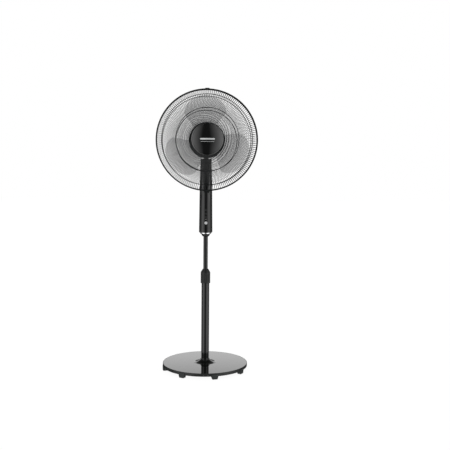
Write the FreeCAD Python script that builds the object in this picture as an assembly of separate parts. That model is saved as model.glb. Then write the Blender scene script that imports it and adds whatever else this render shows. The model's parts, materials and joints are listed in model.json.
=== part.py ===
import FreeCAD, Part

# Pedestal fan: round weighted base, telescopic pole with a twist collar, control column with a facia
# and push buttons, a tilting and swinging head, a wire cage and a three-bladed rotor.
# Frame: millimetres, +Z up, origin on the floor under the pole, the fan blows towards -Y.
# Head parts are drawn about their own Z axis, which is the motor axis pointing forwards, and are then
# turned by to_head(); "ahead" is the distance forwards of the swing axis.

import os
from math import atan2, cos, pi, radians, sin, sqrt

V = FreeCAD.Vector
ORIGIN = V(0, 0, 0)
X, Y, Z = V(1, 0, 0), V(0, 1, 0), V(0, 0, 1)

# ---------------------------------------------------------------- fits
slip = 0.05             # running clearance on radius
ease = 0.15             # clearance of moulded parts that only locate each other
weld = 0.03             # gap left between welded wires, which touch at a point

# ---------------------------------------------------------------- base
foot_h = 12.5           # pad under the rim
foot_count = 8
foot_phase = 11.5       # degrees from straight ahead
foot_top_w, foot_foot_w = 30.0, 22.0
foot_deep = 17.0        # radial length of a pad
cuff_t, cuff_h = 1.8, 9.0
rim_r, rim_h = 190.0, 13.5
rim_ledge = 10.0        # width of the ledge that carries the weight
cover_t = 2.2
weight_t = 3.6
flare_r, flare_h = 52.0, 18.0
flange_r, flange_t = 30.0, 4.0
spigot_h = 34.0
base_screw_r, base_screw_pcd = 2.5, 46.0
base_screw_head_r, base_screw_head_h = 4.5, 3.2

# ---------------------------------------------------------------- pole
tube_r, tube_wall, tube_len = 17.5, 1.2, 398.0
inner_r, inner_wall = 10.0, 1.0
bush_len, bush_flange_h, collet_h = 45.0, 2.5, 15.5
collar_r, collar_skirt, collar_neck_h, collar_cone_h = 21.5, 41.0, 8.0, 14.0
collar_top_r = 13.0
collar_flutes, flute_r, flute_bite = 20, 2.2, 0.9
extension = 147.0       # bare inner tube between collar and column cup
plug_len, plug_overlap = 22.0, 16.0
overlap_len = 175.6     # inner tube inside the outer tube, below its top, to the plug's foot

# ---------------------------------------------------------------- column
cup_h, cup_r = 11.0, 19.0
chrome_h, chrome_r = 7.0, 25.6
column_len, waist_h = 331.4, 187.4
column_r0, column_r1, column_r2 = 30.2, 28.3, 25.2
column_edge = 4.2
column_wall, column_floor = 2.0, 2.4
socket_r, socket_neck_r, socket_flange_r, socket_h, socket_stop = 16.0, 18.0, 24.0, 38.0, 4.0
set_screw_r, set_screw_up = 2.0, 20.0
boss_r, boss_x = 4.2, 21.5
shell_screw_r, shell_screw_head_r, shell_screw_head_h = 1.5, 2.8, 2.0
shell_screw_up = (12.0, 222.0)
gland_r, gland_hole_r, gland_up, gland_out = 6.0, 3.2, 48.0, 2.5

# ---------------------------------------------------------------- control facia
facia_w, facia_up, facia_len = 34.0, 20.0, 164.0
facia_corner = 4.0
button_r, power_r, button_proud, button_travel = 4.5, 6.8, 0.8, 1.2
button_flange, button_flange_t = 1.3, 1.2
speed_up, mode_up, timer_up, power_up, eye_up = 101.7, 86.1, 71.4, 44.6, 60.3
eye_r = 1.6
display_w, display_up, display_len = 12.0, 122.0, 44.0
board_w, board_t, board_back = 21.0, 1.6, 10.0   # board_back: from the column's skin to the board
switch_w, switch_h = 6.0, 3.0

# ---------------------------------------------------------------- neck
tilt_drop = 18.0        # tilt axis below the column's top
tilt_bolt_r, tilt_head_r, tilt_head_h = 3.0, 5.5, 4.0
tongue_w, tongue_r = 21.0, 12.0
ear_t, ear_gap, ear_r = 5.2, 1.7, 11.0
pivot_disc_t, pivot_disc_drop = 8.0, 33.0
neck_half = 12.0
hub_r, hub_h = 14.0, 13.0
hub_up = 28.0           # hub's underside above the tilt axis
swivel_r, swivel_deep = 7.0, 25.0
swivel_shoulder_r = 11.0
washer_t, washer_r = 1.5, 13.0
gear_module, gear_pressure, gear_t = 1.0, 25.0, 5.0
gear_teeth, pinion_teeth = 44, 12
gear_addendum, gear_dedendum, gear_backlash = 0.9, 1.2, 0.25
gear_up = 7.5           # gear's underside above the hub's underside
stepper_r, stepper_gap = 11.5, 1.0

# ---------------------------------------------------------------- motor
axis_up = 96.0          # motor axis above the tilt axis
plate_w, plate_t, plate_fore, plate_aft = 40.0, 3.0, 30.0, 44.0
cap_r, cap_wall, cap_len = 39.0, 3.0, 18.0
stack_half, stack_shift = 13.0, 1.0
rotor_r, air_gap = 22.0, 0.5
coil_in, coil_out, coil_len = 25.0, 35.0, 8.0
shaft_r, shaft_back = 4.0, 31.0
bearing_r, bearing_w = 8.0, 5.0
foot_block_w, foot_block_h = 38.0, 8.0
motor_screw_r, motor_screw_x = 2.0, 15.6
cover_r, cover_wall, cover_back, cover_nose_r = 64.0, 2.2, 88.0, 40.0
cover_hole_r = 25.0
front_plate_t = 3.0
neck_boss_r, neck_boss_len, neck_boss_bore = 26.0, 13.0, 12.0
standoff_r, standoff_at = 4.0, 28.0
vent_count, vent_w, vent_in, vent_out = 16, 4.0, 20.0, 46.0

# ---------------------------------------------------------------- cage
cage_r = 221.0
band_w, band_t, band_lip = 17.0, 1.5, 5.8
rim_wire_r, rim_wire_at = 2.0, 2.6         # rim_wire_at: each rim wire from the band's middle
mid_plane = 119.0                          # band's middle ahead of the swing axis
wire_r, wire_count = 0.9, 160
wire_sides = 6                             # flats that stand for a wire's round, to keep 320 wires light
front_deep, front_power, front_swirl = 55.5, 3.0, 34.0
rear_deep, rear_power, rear_swirl = 66.0, 6.0, -24.0
ring_r, outer_ring, middle_ring = 1.5, 196.0, 135.0
wire_start = 61.0
rear_wire_start = 49.0
rear_plate_in, rear_plate_out, rear_plate_t = 26.3, 57.0, 1.6
grille_nut_r, grille_nut_h, grille_nut_grips = 38.0, 6.5, 8
badge_r, badge_t, badge_edge, badge_crown = 68.0, 6.0, 2.5, 1.6
badge_back_r, badge_back_t, badge_boss_r = 67.0, 3.2, 58.0
inner_ring = 63.0
inlay_l, inlay_h, inlay_t = 56.0, 6.0, 0.8
badge_screw_r, badge_screw_at = 1.6, 46.0
clip_t, top_clip_w, bottom_clip_w = 1.9, 18.0, 30.0
clip_boss_w, clip_boss_h, clip_boss_deep = 22.0, 5.6, 14.0
clip_screw_r, clip_screw_head_r, clip_screw_head_h = 1.6, 3.0, 2.0

# ---------------------------------------------------------------- rotor
blade_hub_r, blade_hub_wall, blade_hub_back, blade_hub_front = 78.0, 3.5, 76.0, 121.0
blade_hub_round = 12.0
blade_boss_r, blade_boss_len = 10.0, 30.0
rib_count, rib_t = 6, 2.0
blade_count, blade_tip, blade_shoulder, blade_t = 3, 196.0, 143.0, 2.2
blade_turn = 93.0       # degrees from +X to the top blade's middle, seen from the front
blade_spread, root_spread, root_lead = 76.0, 77.0, 5.5
blade_round = 1.7       # power of the tip's outline
blade_mid, blade_rise_root, blade_rise_tip, blade_camber = 98.0, 36.0, 32.0, 5.0
pin_r, pin_len, pin_at = 1.5, 22.0, 92.5
nut_r, nut_len = 17.0, 15.0

# ---------------------------------------------------------------- derived heights
plate_top = foot_h + rim_h
cover_under = plate_top - cover_t
weight_top = cover_under - 0.2
weight_bottom = weight_top - weight_t
tube_bottom = weight_top + flange_t
tube_top = tube_bottom + tube_len
collar_bottom = tube_top - collar_skirt
collar_shoulder = tube_top + collar_neck_h
collar_top = collar_shoulder + collar_cone_h
cup_bottom = collar_top + extension
cup_top = cup_bottom + cup_h
column_bottom = cup_top + chrome_h
column_top = column_bottom + column_len
inner_top = column_bottom + socket_h - socket_stop
plug_bottom = tube_top - overlap_len
tilt_z = column_top - tilt_drop
hub_bottom = tilt_z + hub_up
hub_top = hub_bottom + hub_h
axis_z = tilt_z + axis_up
gear_z = hub_bottom + gear_up
plate_z = axis_z - cap_r - plate_t - 0.5   # swing plate's underside
stepper_z = gear_z + gear_t + stepper_gap
stepper_h = plate_z - stepper_z
pinion_y = gear_module * (gear_teeth + pinion_teeth) / 2 + 0.05

# ---------------------------------------------------------------- derived cage sizes
rim_centre = cage_r - band_t - 0.3 - rim_wire_r
wire_end = rim_centre - rim_wire_r - wire_r - slip
front_rim = mid_plane + rim_wire_at
rear_rim = mid_plane - rim_wire_at
front_face = front_rim + front_deep
rear_face = rear_rim - rear_deep
rear_plate_at = rear_face - wire_r - weld - rear_plate_t
front_plate_at = rear_plate_at - front_plate_t
badge_at = front_face + wire_r + ease
shaft_front = blade_hub_front + nut_len - 4.0


# ---------------------------------------------------------------- drawing helpers
def outline(start, *steps):
    """Closed face in the XZ plane. A step is (r, z) for a line, or (r, z, r, z) for an arc through and to."""
    edges, here = [], start
    for step in steps + (start,):
        end = step[-2:]
        if len(step) == 4:
            arc = Part.Arc(V(here[0], 0, here[1]), V(step[0], 0, step[1]), V(end[0], 0, end[1]))
            edges.append(arc.toShape())
        elif end != here:
            edges.append(Part.makeLine(V(here[0], 0, here[1]), V(end[0], 0, end[1])))
        here = end
    return Part.Face(Part.Wire(edges))


def turned(start, *steps):
    """Solid of revolution about Z."""
    return outline(start, *steps).revolve(ORIGIN, Z, 360)


def ring(r_in, r_out, z0, z1):
    return turned((r_in, z0), (r_out, z0), (r_out, z1), (r_in, z1))


def rod(radius, start, end):
    """Cylinder from one point to another."""
    start, end = V(*start), V(*end)
    return Part.makeCylinder(radius, (end - start).Length, start, end - start)


def block(x0, x1, y0, y1, z0, z1):
    return Part.makeBox(x1 - x0, y1 - y0, z1 - z0, V(x0, y0, z0))


def around(shape, count, phase=0.0):
    """Copies of a shape spaced evenly about Z."""
    copies = []
    for k in range(count):
        copy = shape.copy()
        copy.rotate(ORIGIN, Z, phase + 360.0 * k / count)
        copies.append(copy)
    return copies


def hoop(radius, wire_radius, height):
    """Round wire bent into a ring about Z."""
    return Part.makeTorus(radius, wire_radius, V(0, 0, height), Z)


def corner_arc(centre, radius, a0, a1):
    """Through point and end of an arc, as an outline() step, from its centre and its two angles."""
    mid = radians((a0 + a1) / 2)
    end = radians(a1)
    return (centre[0] + radius * cos(mid), centre[1] + radius * sin(mid),
            centre[0] + radius * cos(end), centre[1] + radius * sin(end))


def to_head(shape):
    """From the motor's own frame, Z forwards, to the row frame."""
    moved = shape.copy()
    moved.rotate(ORIGIN, X, 90)
    moved.translate(V(0, 0, axis_z))
    return moved


# ---------------------------------------------------------------- base
def base_cover():
    """Gloss disc, drawn up into a flare round the pole."""
    hole = tube_r + ease
    reach = flare_r - hole
    bend = (reach ** 2 + flare_h ** 2) / (2 * flare_h)
    centre = (flare_r, plate_top + bend)
    top_a = atan2(plate_top + flare_h - centre[1], -reach)
    under = bend + cover_t
    under_a = pi + atan2(sqrt(under ** 2 - reach ** 2), reach)
    start = (hole, plate_top + flare_h)
    to_deg = 180 / pi
    skirt = corner_arc(centre, bend, top_a * to_deg + 360, 270)
    back = corner_arc(centre, under, 270, under_a * to_deg)
    edge = rim_r - 1.2 - ease
    return turned(start, skirt, (edge, plate_top), (edge, cover_under), (flare_r, cover_under), back)


def rim_trim():
    """Black edge ring: carries the cover on its top ledge and the weight on its lower one."""
    inner = rim_r - rim_ledge
    mid = inner + rim_ledge * 0.4
    lip = rim_r - 1.2
    return turned((inner, foot_h), (rim_r, foot_h), (rim_r, plate_top - 1.0),
                  (rim_r - 0.35, plate_top - 0.3, lip, plate_top), (lip, cover_under),
                  (mid, cover_under), (mid, weight_bottom), (inner, weight_bottom))


def base_screw_places():
    r = base_screw_pcd / 2
    return [(r * cos(a), r * sin(a)) for a in (radians(45 + 90 * k) for k in range(4))]


def base_weight():
    disc = Part.makeCylinder(rim_r - rim_ledge * 0.6 - ease, weight_t, V(0, 0, weight_bottom))
    for x, y in base_screw_places():
        disc = disc.cut(rod(base_screw_r + 0.2, (x, y, weight_bottom), (x, y, weight_top)))
    return disc.cut(rod(8.0, (0, 0, weight_bottom), (0, 0, weight_top)))


def pole_flange():
    bore = 9.0
    spigot = tube_r - tube_wall - slip
    top = tube_bottom + spigot_h
    body = turned((bore, weight_top), (flange_r, weight_top), (flange_r, tube_bottom),
                  (spigot, tube_bottom), (spigot, top - 1.5), (spigot - 1.5, top), (bore, top))
    for x, y in base_screw_places():
        body = body.cut(rod(base_screw_r + slip, (x, y, weight_top), (x, y, tube_bottom)))
    return body


def base_screws():
    screws = []
    for x, y in base_screw_places():
        head = rod(base_screw_head_r, (x, y, weight_bottom - base_screw_head_h), (x, y, weight_bottom))
        slot = block(x - base_screw_head_r, x + base_screw_head_r, y - 0.6, y + 0.6,
                     weight_bottom - base_screw_head_h, weight_bottom - base_screw_head_h + 1.2)
        shank = rod(base_screw_r, (x, y, weight_bottom), (x, y, tube_bottom - 0.3))
        screws.append(head.fuse(shank).cut(slot))
    return Part.makeCompound(screws)


def base_feet():
    """Tapered pads with a cuff that clips over the rim."""
    outer = rim_r + slip + cuff_t
    half_top, half_foot = foot_top_w / 2, foot_foot_w / 2
    side = Part.Face(Part.makePolygon([V(0, -half_foot, 0), V(0, half_foot, 0), V(0, half_top, foot_h),
                                       V(0, -half_top, foot_h), V(0, -half_foot, 0)]))
    side.translate(V(outer - foot_deep, 0, 0))
    pad = side.extrude(V(foot_deep + 2, 0, 0))
    cuff = block(outer - 8, outer + 2, -half_top + 1, half_top - 1, foot_h - 0.5, foot_h + cuff_h)
    foot = pad.fuse(cuff).removeSplitter()
    foot = foot.common(Part.makeCylinder(outer, foot_h + cuff_h, ORIGIN))
    foot = foot.cut(Part.makeCylinder(rim_r + slip, rim_h + 5, V(0, 0, foot_h)))
    return Part.makeCompound(around(foot, foot_count, foot_phase - 90))


# ---------------------------------------------------------------- pole
def outer_tube():
    return ring(tube_r - tube_wall, tube_r, tube_bottom, tube_top)


def tube_bush():
    """Plastic bush in the pole's mouth, with split collet fingers that the collar squeezes."""
    bore = inner_r + slip
    fit = tube_r - tube_wall - slip
    seat = tube_top + bush_flange_h
    tip = seat + collet_h
    body = turned((bore, tube_top - bush_len), (fit, tube_top - bush_len), (fit, tube_top),
                  (tube_r, tube_top), (tube_r, seat), (tube_r - 2.5, seat), (bore + 2.0, tip), (bore, tip))
    for angle in (0, 90):
        saw = block(-tube_r, tube_r, -0.7, 0.7, seat + 2.0, tip + 1)
        saw.rotate(ORIGIN, Z, 45 + angle)
        body = body.cut(saw)
    return body


def lock_collar():
    """Twist collar: parallel grip, coned shoulder, and a coned bore over the collet."""
    bore = tube_r + 0.25
    seat = tube_top + bush_flange_h + 0.3
    cone_in = tube_r - 2.2
    cone_top = seat + collet_h - 0.3
    neck = inner_r + 2.6
    mouth = inner_r + 0.4
    body = turned((bore, collar_bottom), (collar_r - 1, collar_bottom), (collar_r, collar_bottom + 1),
                  (collar_r, collar_shoulder), (collar_top_r, collar_top), (mouth, collar_top),
                  (mouth, cone_top + 1.2), (neck, cone_top + 0.4), (cone_in, seat), (bore, seat))
    groove = rod(flute_r, (collar_r + flute_r - flute_bite, 0, collar_bottom + 4),
                 (collar_r + flute_r - flute_bite, 0, collar_shoulder - 4))
    return body.cut(Part.makeCompound(around(groove, collar_flutes)))


def inner_tube():
    tube = ring(inner_r - inner_wall, inner_r, plug_bottom + plug_len - plug_overlap, inner_top)
    hole_z = column_bottom + set_screw_up
    return tube.cut(rod(set_screw_r + slip, (0, 0, hole_z), (0, inner_r + 2, hole_z)))


def tube_end_plug():
    """Guide plug on the inner tube's foot, sliding in the outer tube."""
    fit = tube_r - tube_wall - ease
    top = plug_bottom + plug_len
    step = top - plug_overlap
    return turned((inner_r - 3, plug_bottom), (fit - 1, plug_bottom), (fit, plug_bottom + 1), (fit, top - 1),
                  (fit - 1, top), (inner_r + slip, top), (inner_r + slip, step), (inner_r - 3, step))


# ---------------------------------------------------------------- column
def column_radius(z):
    """Outer radius of the column at a height."""
    waist = column_bottom + waist_h
    if z <= waist:
        return column_r0 + (column_r1 - column_r0) * (z - column_bottom) / waist_h
    return column_r1 + (column_r2 - column_r1) * (z - waist) / (column_len - waist_h)


def column_solid(inset, bottom, top, edge):
    """Tapered column body, drawn in by an inset, with a rounded foot."""
    waist = column_bottom + waist_h
    foot = column_radius(bottom) - inset
    steps = [(foot - edge, bottom)]
    if edge > 0.01:
        steps.append((foot - edge * 0.29, bottom + edge * 0.29, foot, bottom + edge))
    else:
        steps.append((foot, bottom))
    steps += [(column_r1 - inset, waist), (column_radius(top) - inset, top), (0, top)]
    return turned((0, bottom), *steps)


def column_shell():
    """Both halves of the column in one, before they are parted."""
    floor_top = column_bottom + column_floor
    skin = column_solid(0, column_bottom, column_top, column_edge)
    hollow = column_solid(column_wall, floor_top, column_top, 1.5)
    lip = ring(column_r2 - column_wall - 1.2, column_r2 - 1.0, column_top - 2.0, column_top)
    hole = Part.makeCylinder(socket_neck_r + ease, 20, V(0, 0, column_bottom - 5))
    return skin.cut(hollow).fuse(lip).cut(hole).removeSplitter()


def facia_prism(spare):
    """Arched outline of the facia, drawn through the column's front."""
    low = column_bottom + facia_up - spare
    half = facia_w / 2 + spare
    spring = low + spare + facia_len - facia_w / 2
    r = facia_corner
    face = outline((half - r, low), corner_arc((half - r, low + r), r, -90, 0), (half, spring),
                   (0, spring + half, -half, spring), (-half, low + r),
                   corner_arc((-half + r, low + r), r, 180, 270))
    return face.extrude(V(0, -column_r0 - 10, 0))


def shell_screw_places():
    return [(s * boss_x, column_bottom + up) for up in shell_screw_up for s in (-1, 1)]


def column_front():
    half = block(-60, 60, -60, 0, column_bottom - 1, column_top + 1)
    shell = column_shell().common(half).cut(facia_prism(ease))
    skin = column_solid(0.5, column_bottom + 1, column_top, 0)
    for x, z in shell_screw_places():
        boss = rod(boss_r, (x, -60, z), (x, 0, z)).common(skin)
        shell = shell.fuse(boss).cut(rod(shell_screw_r + slip, (x, -12, z), (x, 1, z)))
    return shell.removeSplitter()


def column_rear():
    half = block(-60, 60, 0, 60, column_bottom - 1, column_top + 1)
    shell = column_shell().common(half)
    skin = column_solid(0.5, column_bottom + 1, column_top, 0)
    for x, z in shell_screw_places():
        boss = rod(boss_r, (x, 0, z), (x, 60, z)).common(skin)
        shell = shell.fuse(boss)
        shell = shell.cut(rod(shell_screw_r + ease, (x, -1, z), (x, 60, z)))
        shell = shell.cut(rod(shell_screw_head_r + 0.3, (x, 10, z), (x, 60, z)))
    z = column_bottom + gland_up
    return shell.cut(rod(gland_r - 1.0 + ease, (0, 10, z), (0, 60, z))).removeSplitter()


def column_screws():
    screws = []
    for x, z in shell_screw_places():
        head = rod(shell_screw_head_r, (x, 10, z), (x, 10 + shell_screw_head_h, z))
        cross = block(x - 1.6, x + 1.6, 9.2 + shell_screw_head_h, 10.5 + shell_screw_head_h, z - 0.4, z + 0.4)
        screws.append(head.fuse(rod(shell_screw_r, (x, -11, z), (x, 10, z))).cut(cross))
    return Part.makeCompound(screws)


def cord_gland():
    """Grommet for the supply cord, in the back of the column."""
    z = column_bottom + gland_up
    skin = column_radius(z)
    body = turned((gland_hole_r, -column_wall - 2.5), (gland_r, -column_wall - 2.5),
                  (gland_r, -column_wall - 0.7), (gland_r - 1.0, -column_wall - 0.7), (gland_r - 1.0, 0.2),
                  (gland_r, 0.2), (gland_r - 0.8, gland_out), (gland_hole_r, gland_out))
    body.rotate(ORIGIN, X, -90)
    body.translate(V(0, skin, z))
    return body


def chrome_ring():
    """Bright dished ring under the column."""
    inner = socket_neck_r + ease
    low, high = cup_top + 0.05, column_bottom - 0.05
    bulge = 0.7
    return turned((inner, low), (cup_r + 0.2, low),
                  ((cup_r + chrome_r) / 2 + bulge, (low + high) / 2 - bulge, chrome_r, high), (inner, high))


def tube_socket():
    """Cup and socket that hold the column on the inner tube."""
    bore = inner_r + slip
    floor_top = column_bottom + column_floor + slip
    flange_top = floor_top + 3.5
    top = column_bottom + socket_h
    stop = inner_top + slip
    body = turned((bore, cup_bottom), (bore + 1.2, cup_bottom),
                  (cup_r - 2.2, cup_bottom + cup_h * 0.45, cup_r, cup_top), (socket_neck_r, cup_top),
                  (socket_neck_r, floor_top), (socket_flange_r, floor_top), (socket_flange_r, flange_top),
                  (socket_r, flange_top), (socket_r, top), (inner_r - 2.0, top), (inner_r - 2.0, stop),
                  (bore, stop))
    z = column_bottom + set_screw_up
    return body.cut(rod(set_screw_r + slip, (0, 0, z), (0, socket_r + 1, z)))


def socket_screw():
    z = column_bottom + set_screw_up
    head = rod(set_screw_r + 1.8, (0, socket_r + slip, z), (0, socket_r + 2.6, z))
    shank = rod(set_screw_r, (0, inner_r - inner_wall - 1.0, z), (0, socket_r + slip, z))
    return head.fuse(shank).cut(block(-4, 4, socket_r + 1.8, socket_r + 3, z - 0.5, z + 0.5))


# ---------------------------------------------------------------- controls
def board_front():
    """Y of the circuit board's front face."""
    return -(column_radius(column_bottom + display_up) - board_back)


def facia():
    """Gloss arched cover with openings for the display, the buttons and the receiver eye."""
    shell = column_shell().common(facia_prism(0))
    for _, up, r in BUTTONS:
        z = column_bottom + up
        shell = shell.cut(rod(r + ease, (0, -60, z), (0, 0, z)))
    z = column_bottom + eye_up
    shell = shell.cut(rod(eye_r + slip, (0, -60, z), (0, 0, z)))
    low = column_bottom + display_up
    half = display_w / 2
    shell = shell.cut(block(-half, half, -60, 0, low, low + display_len))
    for z in board_posts():
        skin = column_radius(z) - 0.5
        shell = shell.fuse(rod(2.5, (0, -skin, z), (0, board_front(), z)))
    return shell.removeSplitter()


def board_posts():
    return (column_bottom + facia_up + 7.0, column_bottom + display_up + display_len + 7.0)


def display_window():
    low = column_bottom + display_up + slip
    half = display_w / 2 - slip
    slab = block(-half, half, -60, 0, low, low + display_len - 2 * slip)
    skin = column_solid(0.25, column_bottom, column_top, 0)
    hollow = column_solid(column_wall - 0.25, column_bottom - 1, column_top + 1, 0)
    return skin.cut(hollow).common(slab)


def receiver_eye():
    z = column_bottom + eye_up
    skin = column_radius(z)
    return rod(eye_r, (0, -skin - 0.1, z), (0, -skin + column_wall + 0.4, z))


def push_button(up, r):
    """Cap through the facia, flange behind it, and a stem to its switch."""
    z = column_bottom + up
    skin = column_radius(z)
    flange_r_ = r + button_flange
    bow = skin - column_wall - sqrt((skin - column_wall) ** 2 - flange_r_ ** 2)
    back = -(skin - column_wall - bow) + 0.25
    cap = rod(r, (0, -skin - button_proud, z), (0, back, z))
    face = [e for e in cap.Edges if abs(e.BoundBox.YMax + skin + button_proud) < 1e-6]
    cap = cap.makeFillet(0.5, face)
    flange = rod(flange_r_, (0, back, z), (0, back + button_flange_t, z))
    stem = rod(1.6, (0, back, z), (0, board_front() - switch_h - button_travel - 0.1, z))
    return cap.fuse(flange).fuse(stem).removeSplitter()


def control_board():
    y = board_front()
    low, high = board_posts()
    board = block(-board_w / 2, board_w / 2, y, y + board_t, low - 5, high + 5)
    return board


def board_switches():
    """Tact switches under the buttons, with the receiver and the display block."""
    y = board_front()
    parts = []
    for _, up, r in BUTTONS:
        z = column_bottom + up
        parts.append(block(-switch_w / 2, switch_w / 2, y - switch_h, y, z - switch_w / 2, z + switch_w / 2))
    z = column_bottom + eye_up
    parts.append(block(-2.2, 2.2, y - 5.0, y, z - 2.2, z + 2.2))
    low = column_bottom + display_up
    parts.append(block(-display_w / 2 + 1, display_w / 2 - 1, y - 5.5, y, low + 2, low + display_len - 2))
    return Part.makeCompound(parts)


BUTTONS = (("speed_button", speed_up, button_r), ("mode_button", mode_up, button_r),
           ("timer_button", timer_up, button_r), ("power_button", power_up, power_r))


# ---------------------------------------------------------------- neck
def neck_pivot_block():
    """Fork in the column's mouth that carries the tilt bolt."""
    low = column_top - pivot_disc_drop - pivot_disc_t * 2
    high = low + pivot_disc_t
    fit = column_radius(high) - column_wall - ease
    body = ring(7.0, fit, low, high)
    inner = tongue_w / 2 + ear_gap
    for side in (-1, 1):
        x0, x1 = sorted((side * inner, side * (inner + ear_t)))
        web = block(x0, x1, -ear_r, ear_r, high - 1, tilt_z)
        body = body.fuse(web).fuse(rod(ear_r, (x0, 0, tilt_z), (x1, 0, tilt_z)))
    return body.cut(rod(tilt_bolt_r + slip, (-40, 0, tilt_z), (40, 0, tilt_z))).removeSplitter()


def tilt_bolt():
    outer = tongue_w / 2 + ear_gap + ear_t
    shank = rod(tilt_bolt_r, (-outer, 0, tilt_z), (outer + 3.6, 0, tilt_z))
    head = rod(tilt_head_r, (-outer - tilt_head_h, 0, tilt_z), (-outer, 0, tilt_z))
    slot = block(-outer - tilt_head_h - 1, -outer - tilt_head_h + 1.2, -6, 6, tilt_z - 0.6, tilt_z + 0.6)
    return head.fuse(shank).cut(slot)


def tilt_nut():
    outer = tongue_w / 2 + ear_gap + ear_t
    flats = [V(outer, 5.0 * cos(radians(60 * k)), tilt_z + 5.0 * sin(radians(60 * k))) for k in range(7)]
    hexagon = Part.Face(Part.makePolygon(flats)).extrude(V(3.4, 0, 0))
    return hexagon.cut(rod(tilt_bolt_r + slip, (outer - 1, 0, tilt_z), (outer + 5, 0, tilt_z)))


def tilt_washers():
    inner = tongue_w / 2 + slip
    outer = tongue_w / 2 + ear_gap - slip
    made = []
    for side in (-1, 1):
        disc = rod(8.0, (side * inner, 0, tilt_z), (side * outer, 0, tilt_z))
        made.append(disc.cut(rod(tilt_bolt_r + slip, (-30, 0, tilt_z), (30, 0, tilt_z))))
    return Part.makeCompound(made)


def tilt_bracket():
    """Tongue on the tilt bolt, neck, and the bored hub in which the head swivels."""
    half = tongue_w / 2
    body = rod(tongue_r, (-half, 0, tilt_z), (half, 0, tilt_z))
    body = body.fuse(block(-half, half, -neck_half + 1, neck_half - 1, tilt_z, hub_bottom + 1))
    gear_root = gear_module * (gear_teeth / 2 - gear_dedendum)
    hub = turned((0, hub_bottom), (hub_r - 1, hub_bottom), (hub_r, hub_bottom + 1), (hub_r, gear_z),
                 (hub_r - 1, gear_z), (hub_r - 1, hub_top), (0, hub_top))
    body = body.fuse(hub)
    if gear_root < hub_r + 2:
        raise ValueError("the swing gear is too small for the hub")
    body = body.cut(rod(swivel_r + slip, (0, 0, hub_top - swivel_deep), (0, 0, hub_top + 1)))
    body = body.cut(rod(tilt_bolt_r + slip, (-40, 0, tilt_z), (40, 0, tilt_z)))
    z = swivel_groove()
    return body.cut(rod(2.0 + slip, (0, swivel_r - 2, z), (0, 20, z))).removeSplitter()


def swivel_groove():
    """Height of the groove that keeps the swivel post in its hub."""
    return hub_top - swivel_deep + 7.0


def swivel_screw():
    z = swivel_groove()
    tip = swivel_r - 1.0 + ease
    screw = rod(2.0, (0, tip, z), (0, neck_half - 1, z))
    return screw.cut(block(-3, 3, neck_half - 2, neck_half, z - 0.4, z + 0.4))


def gear_face(teeth, phase):
    """Involute gear outline about the origin, with a tooth at the given angle in degrees."""
    pitch = gear_module * teeth / 2
    base = pitch * cos(radians(gear_pressure))
    tip = pitch + gear_module * gear_addendum
    root = pitch - gear_module * gear_dedendum
    half_tooth = (pi * gear_module / 2 - gear_backlash / 2) / 2 / pitch
    pressure = radians(gear_pressure)
    flare = sin(pressure) / cos(pressure) - pressure

    def half_width(r):
        a = 0.0 if r <= base else sqrt(r * r / base / base - 1)
        return half_tooth + flare - (a - atan2(a, 1))

    def at(r, angle):
        return V(r * cos(angle), r * sin(angle), 0)

    start = max(base, root)
    radii = [start + (tip - start) * (k / 5) for k in range(6)]
    step = 2 * pi / teeth
    edges = []
    for k in range(teeth):
        mid = radians(phase) + k * step
        rising = [at(r, mid - half_width(r)) for r in radii]
        falling = [at(r, mid + half_width(r)) for r in reversed(radii)]
        foot_a, foot_b = mid - half_width(start), mid + half_width(start)
        if root < start - 1e-6:
            edges.append(Part.makeLine(at(root, foot_a), rising[0]))
        flank = Part.BSplineCurve()
        flank.interpolate(rising)
        edges.append(flank.toShape())
        edges.append(Part.Arc(rising[-1], at(tip, mid), falling[0]).toShape())
        flank = Part.BSplineCurve()
        flank.interpolate(falling)
        edges.append(flank.toShape())
        if root < start - 1e-6:
            edges.append(Part.makeLine(falling[-1], at(root, foot_b)))
        gap_mid = mid + step / 2
        edges.append(Part.Arc(at(root, foot_b), at(root, gap_mid), at(root, foot_a + step)).toShape())
    return Part.Face(Part.Wire(edges))


def swing_gear():
    """Fixed gear on the hub; the swing motor's pinion walks round it."""
    half_step = 180.0 / gear_teeth
    face = gear_face(gear_teeth, 90 + half_step)
    gear = face.extrude(V(0, 0, gear_t))
    gear = gear.cut(Part.makeCylinder(hub_r - 1 + slip, gear_t * 3, V(0, 0, -gear_t)))
    gear.translate(V(0, 0, gear_z))
    return gear


def swing_pinion():
    face = gear_face(pinion_teeth, 270)
    pinion = face.extrude(V(0, 0, gear_t))
    pinion = pinion.cut(Part.makeCylinder(1.5 + slip, gear_t, ORIGIN))
    pinion.translate(V(0, pinion_y, gear_z))
    return pinion


def swing_motor():
    """Flat stepper under the swing plate, its shaft down through the pinion."""
    can = Part.makeCylinder(stepper_r, stepper_h, V(0, pinion_y, stepper_z))
    tab_reach = stepper_r + 3.5
    tabs = block(-3.5, 3.5, pinion_y - tab_reach, pinion_y + tab_reach, plate_z - 1.0, plate_z)
    shaft = Part.makeCylinder(1.5, stepper_z - gear_z, V(0, pinion_y, gear_z))
    return can.fuse(tabs).fuse(shaft).removeSplitter()


# ---------------------------------------------------------------- head: swing plate and motor
def motor_screw_places():
    fore = stack_shift + stack_half + cap_len * 0.6
    aft = stack_shift - stack_half - cap_len * 0.6
    return [(s * motor_screw_x, -ahead) for ahead in (fore, aft) for s in (-1, 1)]


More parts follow.
